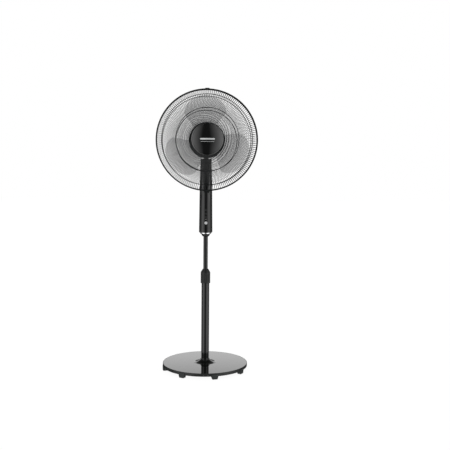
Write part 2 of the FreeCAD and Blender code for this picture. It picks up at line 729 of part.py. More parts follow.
def swing_plate():
    """Plate under the motor with the swivel post that turns in the hub."""
    half = plate_w / 2
    plate = block(-half, half, -plate_fore, plate_aft, plate_z, plate_z + plate_t)
    plate = plate.makeFillet(6, [e for e in plate.Edges if e.BoundBox.ZLength > plate_t - 0.1])
    seat = hub_top + washer_t + slip
    groove = swivel_groove()
    low = hub_top - swivel_deep + 0.5
    inner = swivel_r - 1.0
    post = turned((0, low), (swivel_r, low), (swivel_r, groove - 2.3), (inner, groove - 2.3),
                  (inner, groove + 2.3), (swivel_r, groove + 2.3), (swivel_r, seat),
                  (swivel_shoulder_r, seat), (swivel_shoulder_r, plate_z + 1), (0, plate_z + 1))
    body = plate.fuse(post)
    for x, y in motor_screw_places():
        body = body.cut(rod(motor_screw_r + ease, (x, y, plate_z - 5), (x, y, plate_z + 10)))
    return body.removeSplitter()


def swivel_washer():
    return ring(swivel_r + ease, washer_r - 1, hub_top, hub_top + washer_t)


def motor_screws():
    screws = []
    for x, y in motor_screw_places():
        head = rod(motor_screw_r + 1.6, (x, y, plate_z - 2.2), (x, y, plate_z))
        shank = rod(motor_screw_r, (x, y, plate_z), (x, y, plate_z + plate_t + foot_block_h - 3))
        slot = block(x - 4, x + 4, y - 0.5, y + 0.5, plate_z - 3, plate_z - 1.3)
        screws.append(head.fuse(shank).cut(slot))
    return Part.makeCompound(screws)


def end_cap(front):
    """Die-cast end cap with its bearing seat and the foot that stands on the swing plate."""
    face = stack_half
    back = face + cap_len
    seat = bearing_r + slip
    lip = shaft_r + 1.2
    bearing_in = back - 1.4 - bearing_w
    cap = turned((cap_r - cap_wall, face), (cap_r, face), (cap_r, back - 3), (cap_r - 3, back), (lip, back),
                 (lip, back - 1.4 + slip), (seat, back - 1.4 + slip), (seat, bearing_in - 1),
                 (seat + 3, bearing_in - 1), (seat + 3, back - cap_wall), (cap_r - cap_wall, back - cap_wall))
    foot_y = plate_z + plate_t - axis_z
    foot = block(-foot_block_w / 2, foot_block_w / 2, foot_y, foot_y + foot_block_h, face + 3, back - 3)
    foot = foot.cut(Part.makeCylinder(cap_r - cap_wall, 60, V(0, 0, 0)))
    cap = cap.fuse(foot)
    if not front:
        cap = cap.mirror(ORIGIN, Z)
    cap.translate(V(0, 0, stack_shift))
    cap = to_head(cap)
    for x, y in motor_screw_places():
        hole_end = plate_z + plate_t + foot_block_h - 2
        cap = cap.cut(rod(motor_screw_r + slip, (x, y, plate_z), (x, y, hole_end)))
    return cap.removeSplitter()


def bearings():
    """Front and rear shaft bearings."""
    made = []
    back = stack_half + cap_len - 1.4
    for side in (-1, 1):
        low, high = sorted((side * (back - bearing_w), side * back))
        made.append(ring(shaft_r + slip, bearing_r, low + stack_shift, high + stack_shift))
    return to_head(Part.makeCompound(made))


def stator_core():
    """Laminated ring with eight pole slots."""
    core = ring(rotor_r + air_gap, cap_r - 0.2, -stack_half + 0.1, stack_half - 0.1)
    slot = block(rotor_r - 1, coil_out - 4, -2.2, 2.2, -stack_half - 1, stack_half + 1)
    core = core.cut(Part.makeCompound(around(slot, 8)))
    core.translate(V(0, 0, stack_shift))
    return to_head(core)


def stator_coils():
    """End windings at both faces of the core."""
    made = []
    for side in (-1, 1):
        low, high = sorted((side * stack_half, side * (stack_half + coil_len)))
        coil = ring(coil_in, coil_out, low + stack_shift, high + stack_shift)
        made.append(coil.makeFillet(2.5, [e for e in coil.Edges if e.BoundBox.ZLength < 0.01]))
    return to_head(Part.makeCompound(made))


def rotor_core():
    return to_head(ring(shaft_r + slip, rotor_r, stack_shift - stack_half, stack_shift + stack_half))


def motor_shaft():
    """Ground shaft, cross-drilled for the drive pin."""
    shaft = Part.makeCylinder(shaft_r, shaft_back + shaft_front, V(0, 0, -shaft_back))
    tip = [e for e in shaft.Edges if abs(e.BoundBox.ZMin - shaft_front) < 1e-6]
    shaft = shaft.makeChamfer(0.8, tip)
    return to_head(shaft.cut(rod(pin_r + slip, (-10, 0, pin_at), (10, 0, pin_at))))


def drive_pin():
    return to_head(rod(pin_r, (-pin_len / 2, 0, pin_at), (pin_len / 2, 0, pin_at)))


# ---------------------------------------------------------------- head: covers
def front_plate():
    """Plate before the motor, with the neck that the rear grille and its nut sit on."""
    back = front_plate_at
    front = back + front_plate_t
    cap_front = stack_shift + stack_half + cap_len
    spigot = cover_r - cover_wall - ease
    body = turned((neck_boss_bore, back), (spigot, back), (spigot, front - 1),
                  (cover_r, front - 1), (cover_r, front), (neck_boss_r, front),
                  (neck_boss_r, front + neck_boss_len), (neck_boss_bore, front + neck_boss_len))
    posts = [rod(standoff_r, (standoff_at, 0, cap_front), (standoff_at, 0, back + 1))]
    for post in around(posts[0], 4, 45):
        body = body.fuse(post)
    return to_head(body.removeSplitter())


def motor_cover():
    """Rear dome with louvres, open below for the neck."""
    open_end = front_plate_at + front_plate_t - 1.0
    nose = -cover_back
    mid = nose + 26.0
    bulge = 7.0

    def dome(inset):
        r, tail = cover_r - inset, cover_nose_r - inset
        return [(r, mid), (r - bulge, (mid + nose) / 2 - bulge / 2, tail, nose + inset), (0, nose + inset)]

    skin = turned((0, open_end), (cover_r, open_end), *dome(0))
    hollow = turned((0, open_end + 1), (cover_r - cover_wall, open_end + 1), *dome(cover_wall))
    body = skin.cut(hollow)
    slot = block(vent_in, vent_out, -vent_w / 2, vent_w / 2, nose - 1, nose + 14)
    body = body.cut(Part.makeCompound(around(slot, vent_count, 180.0 / vent_count)))
    body = body.fuse(rod(5.0, (0, 0, nose + 1), (0, 0, stack_shift - stack_half - cap_len - 10)))
    body = body.cut(rod(1.7, (0, 0, nose - 1), (0, 0, 0)))
    body = body.cut(rod(3.6, (0, 0, nose - 1), (0, 0, nose + 2.5)))
    body = to_head(body)
    hole = Part.makeCylinder(cover_hole_r, 60, V(0, 0, axis_z - cover_r - 10))
    return body.cut(hole).removeSplitter()


def cover_stud():
    """Threaded post from the rear end cap to the rear cover."""
    tail = stack_shift - stack_half - cap_len
    stud = rod(5.0, (0, 0, tail - 10 + slip), (0, 0, tail - 2.0))
    legs = [block(4.0, 12.0, -2, 2, tail - 6, tail - 2.0).fuse(block(9.0, 12.0, -2, 2, tail - 3, tail))]
    for leg in around(legs[0], 3):
        stud = stud.fuse(leg)
    return to_head(stud.cut(rod(1.5 + slip, (0, 0, tail - 11), (0, 0, tail - 3))).removeSplitter())


def cover_screw():
    nose = -cover_back
    tail = stack_shift - stack_half - cap_len
    head = rod(3.3, (0, 0, nose + 0.3), (0, 0, nose + 2.5))
    shank = rod(1.5, (0, 0, nose + 2.5), (0, 0, tail - 5))
    slot = block(-3, 3, -0.4, 0.4, nose - 1, nose + 1.3)
    return to_head(head.fuse(shank).cut(slot))


# ---------------------------------------------------------------- cage
def dish_point(r, rim, deep, power):
    """(r, ahead) of a dished wire's centreline at a radius, and its forward normal in that plane."""
    x = min(r / wire_end, 1.0)
    rise = sqrt(max(1 - x ** power, 1e-9))
    slope = -deep * power * x ** (power - 1) / (2 * wire_end * rise)
    size = sqrt(1 + slope * slope)
    return rim + deep * rise, (-slope / size, 1 / size)


def smooth(t):
    t = min(max(t, 0.0), 1.0)
    return t * t * (3 - 2 * t)


def arc_edge(start, corner, end):
    """Arc that leaves start towards the corner and arrives at end from it."""
    chord = end - start
    lean = chord.Length / 2 / (corner - start).Length
    if lean > 1 - 1e-9:
        return Part.makeLine(start, end)
    middle = (start + end) * 0.5
    return Part.Arc(start, middle + (corner - middle) * (lean / (1 + lean)), end).toShape()


def biarc(start, leave, end, arrive):
    """Two arcs that join smoothly, from start along one direction to end along another."""
    chord = end - start
    bend = 2 * (1 - leave.dot(arrive))
    reach = chord.dot(leave + arrive)
    if bend < 1e-9:
        d = chord.dot(chord) / (4 * chord.dot(arrive))
    else:
        d = (sqrt(reach * reach + bend * chord.dot(chord)) - reach) / bend
    first, second = start + leave * d, end - arrive * d
    joint = (first + second) * 0.5
    return [arc_edge(start, first, joint), arc_edge(joint, second, end)]


def wire_section(place, along):
    """Face across a wire, inside its round."""
    side = along.cross(V(0, 0, 1)).normalize()
    up = along.cross(side)
    turns = [2 * pi * k / wire_sides for k in range(wire_sides)]
    corners = [place + side * (wire_r * cos(a)) + up * (wire_r * sin(a)) for a in turns]
    return Part.Face(Part.makePolygon(corners + corners[:1]))


def dished_wire(start, rim, deep, power, swirl):
    """One cage wire from near the axis out to the rim, swirled between the inner and outer rings."""

    def at(a):
        r = wire_end * sin(a) ** (2 / power)
        turn = radians(swirl) * smooth((r - start) / (outer_ring - start))
        return V(r * cos(turn), r * sin(turn), rim + deep * cos(a))

    def heading(a):
        return (at(a + 1e-4) - at(a - 1e-4)).normalize()

    radii = (start, (start + middle_ring) / 2, middle_ring, (middle_ring + outer_ring) / 2, outer_ring, wire_end)
    stations = []
    for r in radii:
        sine = (r / wire_end) ** (power / 2)
        stations.append(atan2(sine, sqrt(1 - sine * sine)))
    edges = []
    for a, b in zip(stations, stations[1:]):
        edges += biarc(at(a), heading(a), at(b), heading(b))
    return Part.Wire(edges).makePipe(wire_section(at(stations[0]), heading(stations[0])))


def dish_ring(r, rim, deep, power):
    """Round ring welded inside the dish."""
    ahead, normal = dish_point(r, rim, deep, power)
    inward = -1 if deep > 0 else 1
    gap = wire_r + ring_r + weld
    return hoop(r + inward * normal[0] * gap, ring_r, ahead + inward * normal[1] * gap)


def front_wires():
    wire = dished_wire(wire_start, front_rim, front_deep, front_power, front_swirl)
    return to_head(Part.makeCompound(around(wire, wire_count)))


def rear_wires():
    wire = dished_wire(rear_wire_start, rear_rim, -rear_deep, rear_power, rear_swirl)
    return to_head(Part.makeCompound(around(wire, wire_count)))


def front_rings():
    rings = [dish_ring(r, front_rim, front_deep, front_power) for r in (inner_ring, middle_ring, outer_ring)]
    return to_head(Part.makeCompound(rings + [hoop(rim_centre, rim_wire_r, front_rim)]))


def rear_rings():
    rings = [dish_ring(r, rear_rim, -rear_deep, rear_power) for r in (middle_ring, outer_ring)]
    return to_head(Part.makeCompound(rings + [hoop(rim_centre, rim_wire_r, rear_rim)]))


def rear_plate():
    """Pressed washer that carries the rear wires on the motor's neck."""
    return to_head(ring(rear_plate_in, rear_plate_out, rear_plate_at, rear_plate_at + rear_plate_t))


def grille_nut():
    low = rear_plate_at + rear_plate_t + 0.02
    high = low + grille_nut_h
    nut = ring(neck_boss_r + slip, grille_nut_r, low, high)
    grip = rod(5.0, (grille_nut_r + 2.8, 0, low - 1), (grille_nut_r + 2.8, 0, high + 1))
    return to_head(nut.cut(Part.makeCompound(around(grip, grille_nut_grips))))


def rim_band():
    """Channel that clamps the two rim wires together."""
    low, high = mid_plane - band_w / 2, mid_plane + band_w / 2
    inner, wall = cage_r - band_lip, cage_r - band_t
    soft = 1.2
    nick = soft * 0.3
    return to_head(turned((inner, low), (cage_r - soft, low), (cage_r - nick, low + nick, cage_r, low + soft),
                          (cage_r, high - soft), (cage_r - nick, high - nick, cage_r - soft, high),
                          (inner, high), (inner, high - band_t), (wall, high - band_t), (wall, low + band_t),
                          (inner, low + band_t)))


def clip_saddle(width):
    """Saddle over the rim band, at the top of the cage in the motor's frame."""
    low, high = mid_plane - band_w / 2, mid_plane + band_w / 2
    outer = cage_r + slip + clip_t
    inner = wire_end + wire_r + 0.3
    saddle = ring(inner, outer, low - slip - clip_t, high + slip + clip_t)
    saddle = saddle.cut(ring(inner - 1, cage_r + slip, low - slip, high + slip))
    return saddle.common(block(-width / 2, width / 2, 100, 260, 0, 200))


def top_clip():
    return to_head(clip_saddle(top_clip_w))


def bottom_clip():
    """Saddle with the screw boss that closes the band."""
    outer = cage_r + slip + clip_t
    low, high = mid_plane - clip_boss_deep / 2, mid_plane + clip_boss_deep / 2
    half = clip_boss_w / 2
    boss = block(-half, half, outer - 2, outer + clip_boss_h, low, high)
    boss = boss.makeFillet(2.0, [e for e in boss.Edges if e.BoundBox.ZLength > clip_boss_deep - 0.1
                                 and e.BoundBox.YMin > outer])
    boss = boss.cut(Part.makeCylinder(cage_r + slip, 300, ORIGIN))
    body = clip_saddle(bottom_clip_w).fuse(boss)
    hole_at = outer + clip_boss_h / 2
    body = body.cut(rod(clip_screw_r + slip, (0, hole_at, low - 1), (0, hole_at, high + 1)))
    body.rotate(ORIGIN, Z, 180)
    return to_head(body.removeSplitter())


def clip_screw():
    hole_at = -(cage_r + slip + clip_t + clip_boss_h / 2)
    low, high = mid_plane - clip_boss_deep / 2, mid_plane + clip_boss_deep / 2
    head = rod(clip_screw_head_r - 0.2, (0, hole_at, high), (0, hole_at, high + clip_screw_head_h))
    slot = block(-4, 4, hole_at - 0.4, hole_at + 0.4, high + clip_screw_head_h - 1, high + 5)
    return to_head(head.fuse(rod(clip_screw_r, (0, hole_at, low + 1), (0, hole_at, high))).cut(slot))


def badge_screw_places():
    turns = [radians(30 + 120 * k) for k in range(3)]
    return [(badge_screw_at * cos(a), badge_screw_at * sin(a)) for a in turns]


def badge():
    """Round badge at the middle of the front grille, with a shallow seat for the blank inlay."""
    front = badge_at + badge_t
    r = badge_r
    body = turned((0, badge_at), (r - 1, badge_at), (r, badge_at + 1), (r, front - badge_edge),
                  (r - badge_edge * 0.29, front - badge_edge * 0.29, r - badge_edge, front),
                  (r * 0.5, front + badge_crown * 0.75, 0, front + badge_crown))
    body = body.cut(inlay_bar(slip, badge_at + badge_t + badge_crown - inlay_t, 5))
    for x, y in badge_screw_places():
        body = body.cut(rod(badge_screw_r + slip, (x, y, badge_at - 1), (x, y, badge_at + 4)))
    return to_head(body)


def inlay_bar(spare, low, deep):
    """Round-ended bar across the badge."""
    half, r = inlay_l / 2 - inlay_h / 2, inlay_h / 2 + spare
    bar = block(-half, half, -r, r, low, low + deep)
    for side in (-half, half):
        bar = bar.fuse(rod(r, (side, 0, low), (side, 0, low + deep)))
    return bar


def badge_inlay():
    return to_head(inlay_bar(0, badge_at + badge_t + badge_crown - inlay_t, inlay_t).removeSplitter())


def badge_back():
    """Keeper behind the badge: its rim holds the inner ring, its boss meets the badge."""
    ahead = dish_point(inner_ring, front_rim, front_deep, front_power)[0]
    top = ahead - wire_r - 2 * ring_r - weld - slip
    body = turned((0, top - badge_back_t), (badge_back_r - 1, top - badge_back_t),
                  (badge_back_r, top - badge_back_t + 1), (badge_back_r, top), (badge_boss_r, top),
                  (badge_boss_r, badge_at), (badge_boss_r - 3, badge_at), (badge_boss_r - 3, top), (0, top))
    for x, y in badge_screw_places():
        body = body.fuse(rod(4.0, (x, y, top - 1), (x, y, badge_at)))
        body = body.cut(rod(badge_screw_r + ease, (x, y, top - 10), (x, y, badge_at + 1)))
    return to_head(body.removeSplitter())


def badge_screws():
    ahead = dish_point(inner_ring, front_rim, front_deep, front_power)[0]
    back = ahead - wire_r - 2 * ring_r - weld - slip - badge_back_t
    screws = []
    for x, y in badge_screw_places():
        head = rod(badge_screw_r + 1.4, (x, y, back - 1.8), (x, y, back))
        slot = block(x - 4, x + 4, y - 0.4, y + 0.4, back - 2, back - 1.0)
        screws.append(head.fuse(rod(badge_screw_r, (x, y, back), (x, y, badge_at + 3.5))).cut(slot))
    return to_head(Part.makeCompound(screws))


# ---------------------------------------------------------------- rotor
def blade_surface():
    """Twisted, cambered blade skin between the hub and the rounded tip."""
    rows = []
    across, outward = 10, 8
    root = blade_hub_r - blade_hub_wall
    for j in range(outward + 1):
        v = j / outward
        row = []
        for i in range(across + 1):
            u = (1 - cos(pi * i / across)) / 2
            tip_a = blade_turn + blade_spread * (u - 0.5)
            root_a = blade_turn + root_lead + root_spread * (u - 0.5)
            off = abs(2 * u - 1)
            bulge = (1 - off ** blade_round) ** (1 / blade_round)
            reach = blade_shoulder + (blade_tip - blade_shoulder) * bulge
            a = radians(root_a + (tip_a - root_a) * v)
            r = root + (reach - root) * v
            rise = blade_rise_root + (blade_rise_tip - blade_rise_root) * v
            ahead = blade_mid + rise * (u - 0.5) + blade_camber * 4 * u * (1 - u) * v
            row.append(V(r * cos(a), r * sin(a), ahead))
        rows.append(row)
    skin = Part.BSplineSurface()
    skin.interpolate(rows)
    return skin.toShape()


def fan_blade():
    """Hub cup, ribbed boss and three blades, moulded in one."""
    r, wall, back, front, soft = blade_hub_r, blade_hub_wall, blade_hub_back, blade_hub_front, blade_hub_round
    inner = soft - wall
    cup = turned((shaft_r + slip, front - wall), (r - soft, front - wall),
                 corner_arc((r - soft, front - soft), inner, 90, 0), (r - wall, back), (r, back),
                 (r, front - soft), corner_arc((r - soft, front - soft), soft, 0, 90), (shaft_r + slip, front))
    boss = ring(shaft_r + slip, blade_boss_r, front - blade_boss_len, front - wall + 1)
    body = cup.fuse(boss)
    rib_back = front - blade_boss_len + 8
    rib = block(blade_boss_r - 1, r - wall + 1, -rib_t / 2, rib_t / 2, rib_back, front - wall + 1)
    for piece in around(rib, rib_count, 180.0 / rib_count):
        body = body.fuse(piece)
    blade = blade_surface().extrude(V(0, 0, blade_t))
    for piece in around(blade, blade_count):
        body = body.fuse(piece)
    seat = front - blade_boss_len
    half = pin_r + ease
    notch = block(-blade_boss_r - 2, blade_boss_r + 2, -half, half, seat - 1, pin_at + half)
    return to_head(body.cut(notch).removeSplitter())


def blade_nut():
    """Spinner nut on the shaft's end."""
    low = blade_hub_front + slip
    high = low + nut_len
    nut = turned((0, low), (nut_r, low), (nut_r, low + 6), (nut_r - 2.5, low + 12, nut_r - 9, high), (0, high))
    nut = nut.cut(rod(shaft_r + slip, (0, 0, low - 1), (0, 0, shaft_front + 1)))
    grip = rod(3.0, (nut_r + 1.8, 0, low - 1), (nut_r + 1.8, 0, high + 1))
    return to_head(nut.cut(Part.makeCompound(around(grip, 6))))


# ---------------------------------------------------------------- nodes
NODES = {
    "base_cover": base_cover,
    "rim_trim": rim_trim,
    "base_weight": base_weight,
    "pole_flange": pole_flange,
    "base_screws": base_screws,
    "base_feet": base_feet,
    "outer_tube": outer_tube,
    "tube_bush": tube_bush,
    "lock_collar": lock_collar,
    "inner_tube": inner_tube,
    "tube_end_plug": tube_end_plug,
    "tube_socket": tube_socket,
    "chrome_ring": chrome_ring,
    "column_front": column_front,
    "column_rear": column_rear,
    "column_screws": lambda: Part.makeCompound([column_screws(), socket_screw()]),
    "cord_gland": cord_gland,
    "facia": facia,
    "display_window": display_window,
    "receiver_eye": receiver_eye,
    "control_board": control_board,
    "board_switches": board_switches,
    "neck_pivot_block": neck_pivot_block,
    "tilt_bolt": lambda: Part.makeCompound([tilt_bolt(), tilt_nut()]),
    "tilt_washers": tilt_washers,
    "tilt_bracket": tilt_bracket,
    "swing_gear": swing_gear,
    "swivel_screw": swivel_screw,
    "swing_pinion": swing_pinion,
    "swing_motor": swing_motor,
    "swing_plate": swing_plate,
    "swivel_washer": swivel_washer,
    "head_screws": lambda: Part.makeCompound([motor_screws(), cover_screw(), badge_screws(), clip_screw()]),
    "front_end_cap": lambda: end_cap(True),
    "rear_end_cap": lambda: end_cap(False),
    "shaft_bearings": bearings,
    "stator_core": stator_core,
    "stator_coils": stator_coils,
    "rotor_core": rotor_core,
    "motor_shaft": motor_shaft,
    "drive_pin": drive_pin,
    "motor_front_plate": front_plate,
    "motor_cover": motor_cover,
    "cover_stud": cover_stud,
    "rear_wires": rear_wires,
    "rear_rings": rear_rings,
    "rear_plate": rear_plate,
    "grille_nut": grille_nut,
    "front_wires": front_wires,
    "front_rings": front_rings,
    "rim_band": rim_band,
    "rim_clips": lambda: Part.makeCompound([top_clip(), bottom_clip()]),
    "badge": lambda: Part.makeCompound([badge(), badge_inlay()]),
    "badge_back": badge_back,
    "fan_blade": fan_blade,
    "blade_nut": blade_nut,
}
for name, up, r in BUTTONS:
    NODES[name] = lambda up=up, r=r: push_button(up, r)


if __name__ == "__main__":
    os.makedirs("parts", exist_ok=True)
    for name, make in NODES.items():
        shape = make()
        bad = [s for s in shape.Solids if not s.isValid() or s.Volume <= 0]
        note = " INVALID" if bad else ""
        print(f"{name}: {len(shape.Solids)} solids, {shape.Volume / 1000:.2f} cm3{note}")
        shape.exportStep(f"parts/{name}.step")
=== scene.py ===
import json
from math import acos, asin, atan2, cos, pi, radians, sin, sqrt, tan

import bmesh
import bpy
from bpy.props import FloatProperty, FloatVectorProperty, IntProperty, PointerProperty
from mathutils import Matrix, Vector

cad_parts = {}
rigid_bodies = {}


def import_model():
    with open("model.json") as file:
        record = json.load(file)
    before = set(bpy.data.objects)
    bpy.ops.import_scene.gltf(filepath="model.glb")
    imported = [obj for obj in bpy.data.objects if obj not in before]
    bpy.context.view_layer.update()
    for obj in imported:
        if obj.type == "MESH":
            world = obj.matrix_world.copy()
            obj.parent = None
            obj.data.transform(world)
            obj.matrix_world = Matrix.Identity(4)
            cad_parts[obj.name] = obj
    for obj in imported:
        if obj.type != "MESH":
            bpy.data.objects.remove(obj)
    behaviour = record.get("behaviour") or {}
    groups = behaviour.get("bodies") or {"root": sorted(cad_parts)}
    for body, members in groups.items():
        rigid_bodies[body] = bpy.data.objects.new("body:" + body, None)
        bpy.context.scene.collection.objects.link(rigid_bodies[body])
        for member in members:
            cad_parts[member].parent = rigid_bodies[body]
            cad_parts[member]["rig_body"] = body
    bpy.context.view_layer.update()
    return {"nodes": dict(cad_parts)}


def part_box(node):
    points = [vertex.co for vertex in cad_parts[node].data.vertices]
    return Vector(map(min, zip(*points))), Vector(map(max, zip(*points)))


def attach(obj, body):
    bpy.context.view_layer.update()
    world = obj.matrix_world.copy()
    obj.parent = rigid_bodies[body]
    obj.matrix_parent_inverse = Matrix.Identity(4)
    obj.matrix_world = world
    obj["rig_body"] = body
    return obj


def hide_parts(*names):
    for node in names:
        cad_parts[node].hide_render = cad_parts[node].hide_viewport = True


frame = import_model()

bl_info = {
    "name": "Pedestal fan",
    "version": (1, 0, 0),
    "blender": (4, 5, 0),
    "location": "View3D > Sidebar > Fan",
    "description": "Builds a pedestal fan's finished surfaces round its packed frame",
    "category": "Object",
}

BAND_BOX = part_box("rim_band")
AXIS_Z = sum(corner.z for corner in BAND_BOX) / 2           # height of the motor's axis
BAND_MIDDLE = -sum(corner.y for corner in BAND_BOX) / 2     # how far the band's middle is ahead of the pole
CAGE_RADIUS = BAND_BOX[1].x
BAND_WALL = 0.0015
BAND_GAP = 0.0003       # between the band and the rim wires inside it
CREASE = radians(32)    # a sharper turn than this keeps its edge
WHOLE = 2 * pi


# ---------------------------------------------------------------- sizes and colours a user may change
def length(name, description, default, least=0.0):
    return FloatProperty(name=name, description=description, default=default, min=least, precision=5,
                         unit="LENGTH")


def angle(name, description, degrees):
    return FloatProperty(name=name, description=description, default=radians(degrees), subtype="ANGLE")


def colour(name, description, default):
    return FloatVectorProperty(name=name, description=description, default=default, size=3,
                               subtype="COLOR", min=0.0, max=1.0)


class FanSizes(bpy.types.PropertyGroup):
    edge: length("Edge radius", "Rounding of moulded edges", 0.0007)
    wire: length("Wire radius", "Radius of the cage wires", 0.0009)
    ring_wire: length("Ring radius", "Radius of the wire of the cage rings", 0.0015)
    rim_wire: length("Rim wire radius", "Radius of the wire inside the rim band", 0.002)
    wires: IntProperty(name="Wires", description="Wires in each half of the cage", default=160, min=12)
    front_swirl: angle("Front swirl", "Turn of a front wire from the middle to the ring", 34)
    rear_swirl: angle("Rear swirl", "Turn of a rear wire from the middle to the ring", -24)
    outer_ring: length("Outer ring", "Radius of the ring near the rim", 0.196)
    middle_ring: length("Middle ring", "Radius of the ring half way out", 0.135)
    inner_ring: length("Inner ring", "Radius of the ring round the badge", 0.063)
    blade: length("Blade thickness", "Thickness of a blade", 0.0022)
    tube_rounding: length("Tube edge", "Rounding of the tubes' ends", 0.0004)


class FanColours(bpy.types.PropertyGroup):
    gloss: colour("Gloss black", "Lacquered covers and the column", (0.0016, 0.0019, 0.0018))
    satin: colour("Satin black", "Grained mouldings", (0.008, 0.009, 0.0088))
    tube: colour("Tube black", "Enamel of the pole", (0.004, 0.0046, 0.0045))
    cage: colour("Cage grey", "Enamel of the wires", (0.006, 0.007, 0.007))
    rubber: colour("Foot rubber", "Pads under the rim", (0.015, 0.0175, 0.017))
    smoke: colour("Smoke", "Tint of the translucent blades", (0.035, 0.037, 0.038))
    silver: colour("Silver", "Power button", (0.50, 0.51, 0.51))
    white: colour("White", "Badge inlay and its line", (0.40, 0.41, 0.41))
    floor: colour("Floor", "Studio floor", (0.9, 0.9, 0.9))


class FanStudio(bpy.types.PropertyGroup):
    lens: FloatProperty(name="Lens", description="Focal length in millimetres", default=52.8, min=1.0)
    side: length("Camera side", "How far the camera stands to the right of the pole", -0.085, least=-10.0)
    back: length("Camera distance", "How far the camera stands before the pole", 2.9751)
    height: length("Camera height", "Height of the camera", 0.8317)
    yaw: angle("Yaw", "How far the camera turns to the left", -3.295)
    tilt: angle("Tilt", "How far the camera looks down", 1.236)
    roll: angle("Roll", "Turn of the camera about its view", 0.36)
    shift: FloatProperty(name="Shift", description="Lens shift, as a share of the frame", default=-0.0594)


def sizes():
    return bpy.context.scene.fan_sizes


def colours():
    return bpy.context.scene.fan_colours


# ---------------------------------------------------------------- node trees
class Tree:
    """Adds nodes to a tree and links them; an input may be a value or another node's output."""

    def __init__(self, tree):
        self.tree = tree

    def add(self, kind, inputs=(), **settings):
        node = self.tree.nodes.new(kind)
        for key, value in settings.items():
            setattr(node, key, value)
        self.give(node, dict(inputs))
        return node

    def give(self, node, inputs):
        for key, value in inputs.items():
            self.feed(node, key, value)

    def feed(self, node, key, value):
        if isinstance(value, bpy.types.NodeSocket):
            self.tree.links.new(value, node.inputs[key])
        else:
            node.inputs[key].default_value = value

    def math(self, operation, a, b=0.0, clamp=False):
        node = self.add("ShaderNodeMath", {0: a, 1: b}, operation=operation, use_clamp=clamp)
        return node.outputs[0]

    def noise(self, vector, scale, detail=3.0, roughness=0.5):
        node = self.add("ShaderNodeTexNoise", {"Vector": vector, "Scale": scale, "Detail": detail,
                                               "Roughness": roughness})
        return node.outputs["Fac"]

    def span(self, value, low, high, to_low=0.0, to_high=1.0):
        node = self.add("ShaderNodeMapRange", {"Value": value, "From Min": low, "From Max": high,
                                               "To Min": to_low, "To Max": to_high},
                        interpolation_type="SMOOTHSTEP")
        return node.outputs["Result"]

    def mix(self, factor, a, b):
        return self.add("ShaderNodeMix", {0: factor, 6: a, 7: b}, data_type="RGBA").outputs[2]

    def stretched(self, vector, scale):
        node = self.add("ShaderNodeMapping", {"Vector": vector, "Scale": scale})
        return node.outputs["Vector"]

    def bump(self, height, strength, distance):
        node = self.add("ShaderNodeBump", {"Height": height, "Strength": strength, "Distance": distance})
        return node.outputs["Normal"]

    def shared(self, tree, inputs):
        """Outputs of a node group placed here with its own values."""
        return self.add("ShaderNodeGroup", inputs, node_tree=tree).outputs


def group(name, inputs, outputs, build):
    """A shader node group, made once, whose build function returns its outputs by name."""
    found = bpy.data.node_groups.get(name)
    if found:
        return found
    tree = bpy.data.node_groups.new(name, "ShaderNodeTree")
    kinds = {"value": "NodeSocketFloat", "vector": "NodeSocketVector", "colour": "NodeSocketColor"}
    for label, kind, default in inputs:
        socket = tree.interface.new_socket(label, in_out="INPUT", socket_type=kinds[kind])
        if default is not None:
            socket.default_value = default
    for label, kind in outputs:
        tree.interface.new_socket(label, in_out="OUTPUT", socket_type=kinds[kind])
    t = Tree(tree)
    entry = t.add("NodeGroupInput").outputs
    t.add("NodeGroupOutput", build(t, entry))
    return tree


def grain_group():
    """Spark-eroded grain of a moulding: height, and a mask of its high spots."""

    def build(t, given):
        coarse = t.noise(given["Vector"], given["Scale"], 2.0, 0.6)
        fine = t.noise(given["Vector"], t.math("MULTIPLY", given["Scale"], 2.7), 2.0, 0.5)
        height = t.math("ADD", t.math("MULTIPLY", coarse, 0.65), t.math("MULTIPLY", fine, 0.35))
        return {"Height": height, "Peaks": t.span(height, 0.45, 0.62)}

    return group("Moulded grain", [("Vector", "vector", None), ("Scale", "value", 2400.0)],
                 [("Height", "value"), ("Peaks", "value")], build)


def handling_group():
    """Roughness of a handled gloss surface: broad smears, and fine hairlines in two directions."""

    def build(t, given):
        smear = t.span(t.noise(given["Vector"], 14.0, 4.0, 0.6), 0.42, 0.72)
        one = t.noise(t.stretched(given["Vector"], (900.0, 900.0, 14.0)), 1.0, 2.0, 0.5)
        other = t.noise(t.stretched(given["Vector"], (20.0, 700.0, 700.0)), 1.0, 2.0, 0.5)
        lines = t.math("ADD", t.span(one, 0.66, 0.78), t.span(other, 0.68, 0.8), clamp=True)
        spread = t.math("ADD", t.math("MULTIPLY", smear, given["Smears"]),
                        t.math("MULTIPLY", lines, given["Hairlines"]))
        return {"Roughness": t.math("ADD", given["Base"], spread), "Smears": smear}

    return group("Handling marks",
                 [("Vector", "vector", None), ("Base", "value", 0.05), ("Smears", "value", 0.03),
                  ("Hairlines", "value", 0.03)],
                 [("Roughness", "value"), ("Smears", "value")], build)


def dust_group():
    """Fine dust on what faces up: a mask, thicker in patches and specks."""

    def build(t, given):
        up = t.add("ShaderNodeSeparateXYZ", {0: given["Normal"]}).outputs["Z"]
        facing = t.span(up, 0.55, 0.98)
        patch = t.span(t.noise(given["Vector"], 9.0, 5.0, 0.65), 0.35, 0.75, 0.25, 1.0)
        specks = t.span(t.noise(given["Vector"], 1300.0, 1.0, 0.4), 0.7, 0.78)
        laid = t.math("ADD", t.math("MULTIPLY", patch, 0.35), specks, clamp=True)
        return {"Dust": t.math("MULTIPLY", t.math("MULTIPLY", laid, facing), given["Amount"])}

    return group("Settled dust",
                 [("Vector", "vector", None), ("Normal", "vector", None), ("Amount", "value", 0.1)],
                 [("Dust", "value")], build)


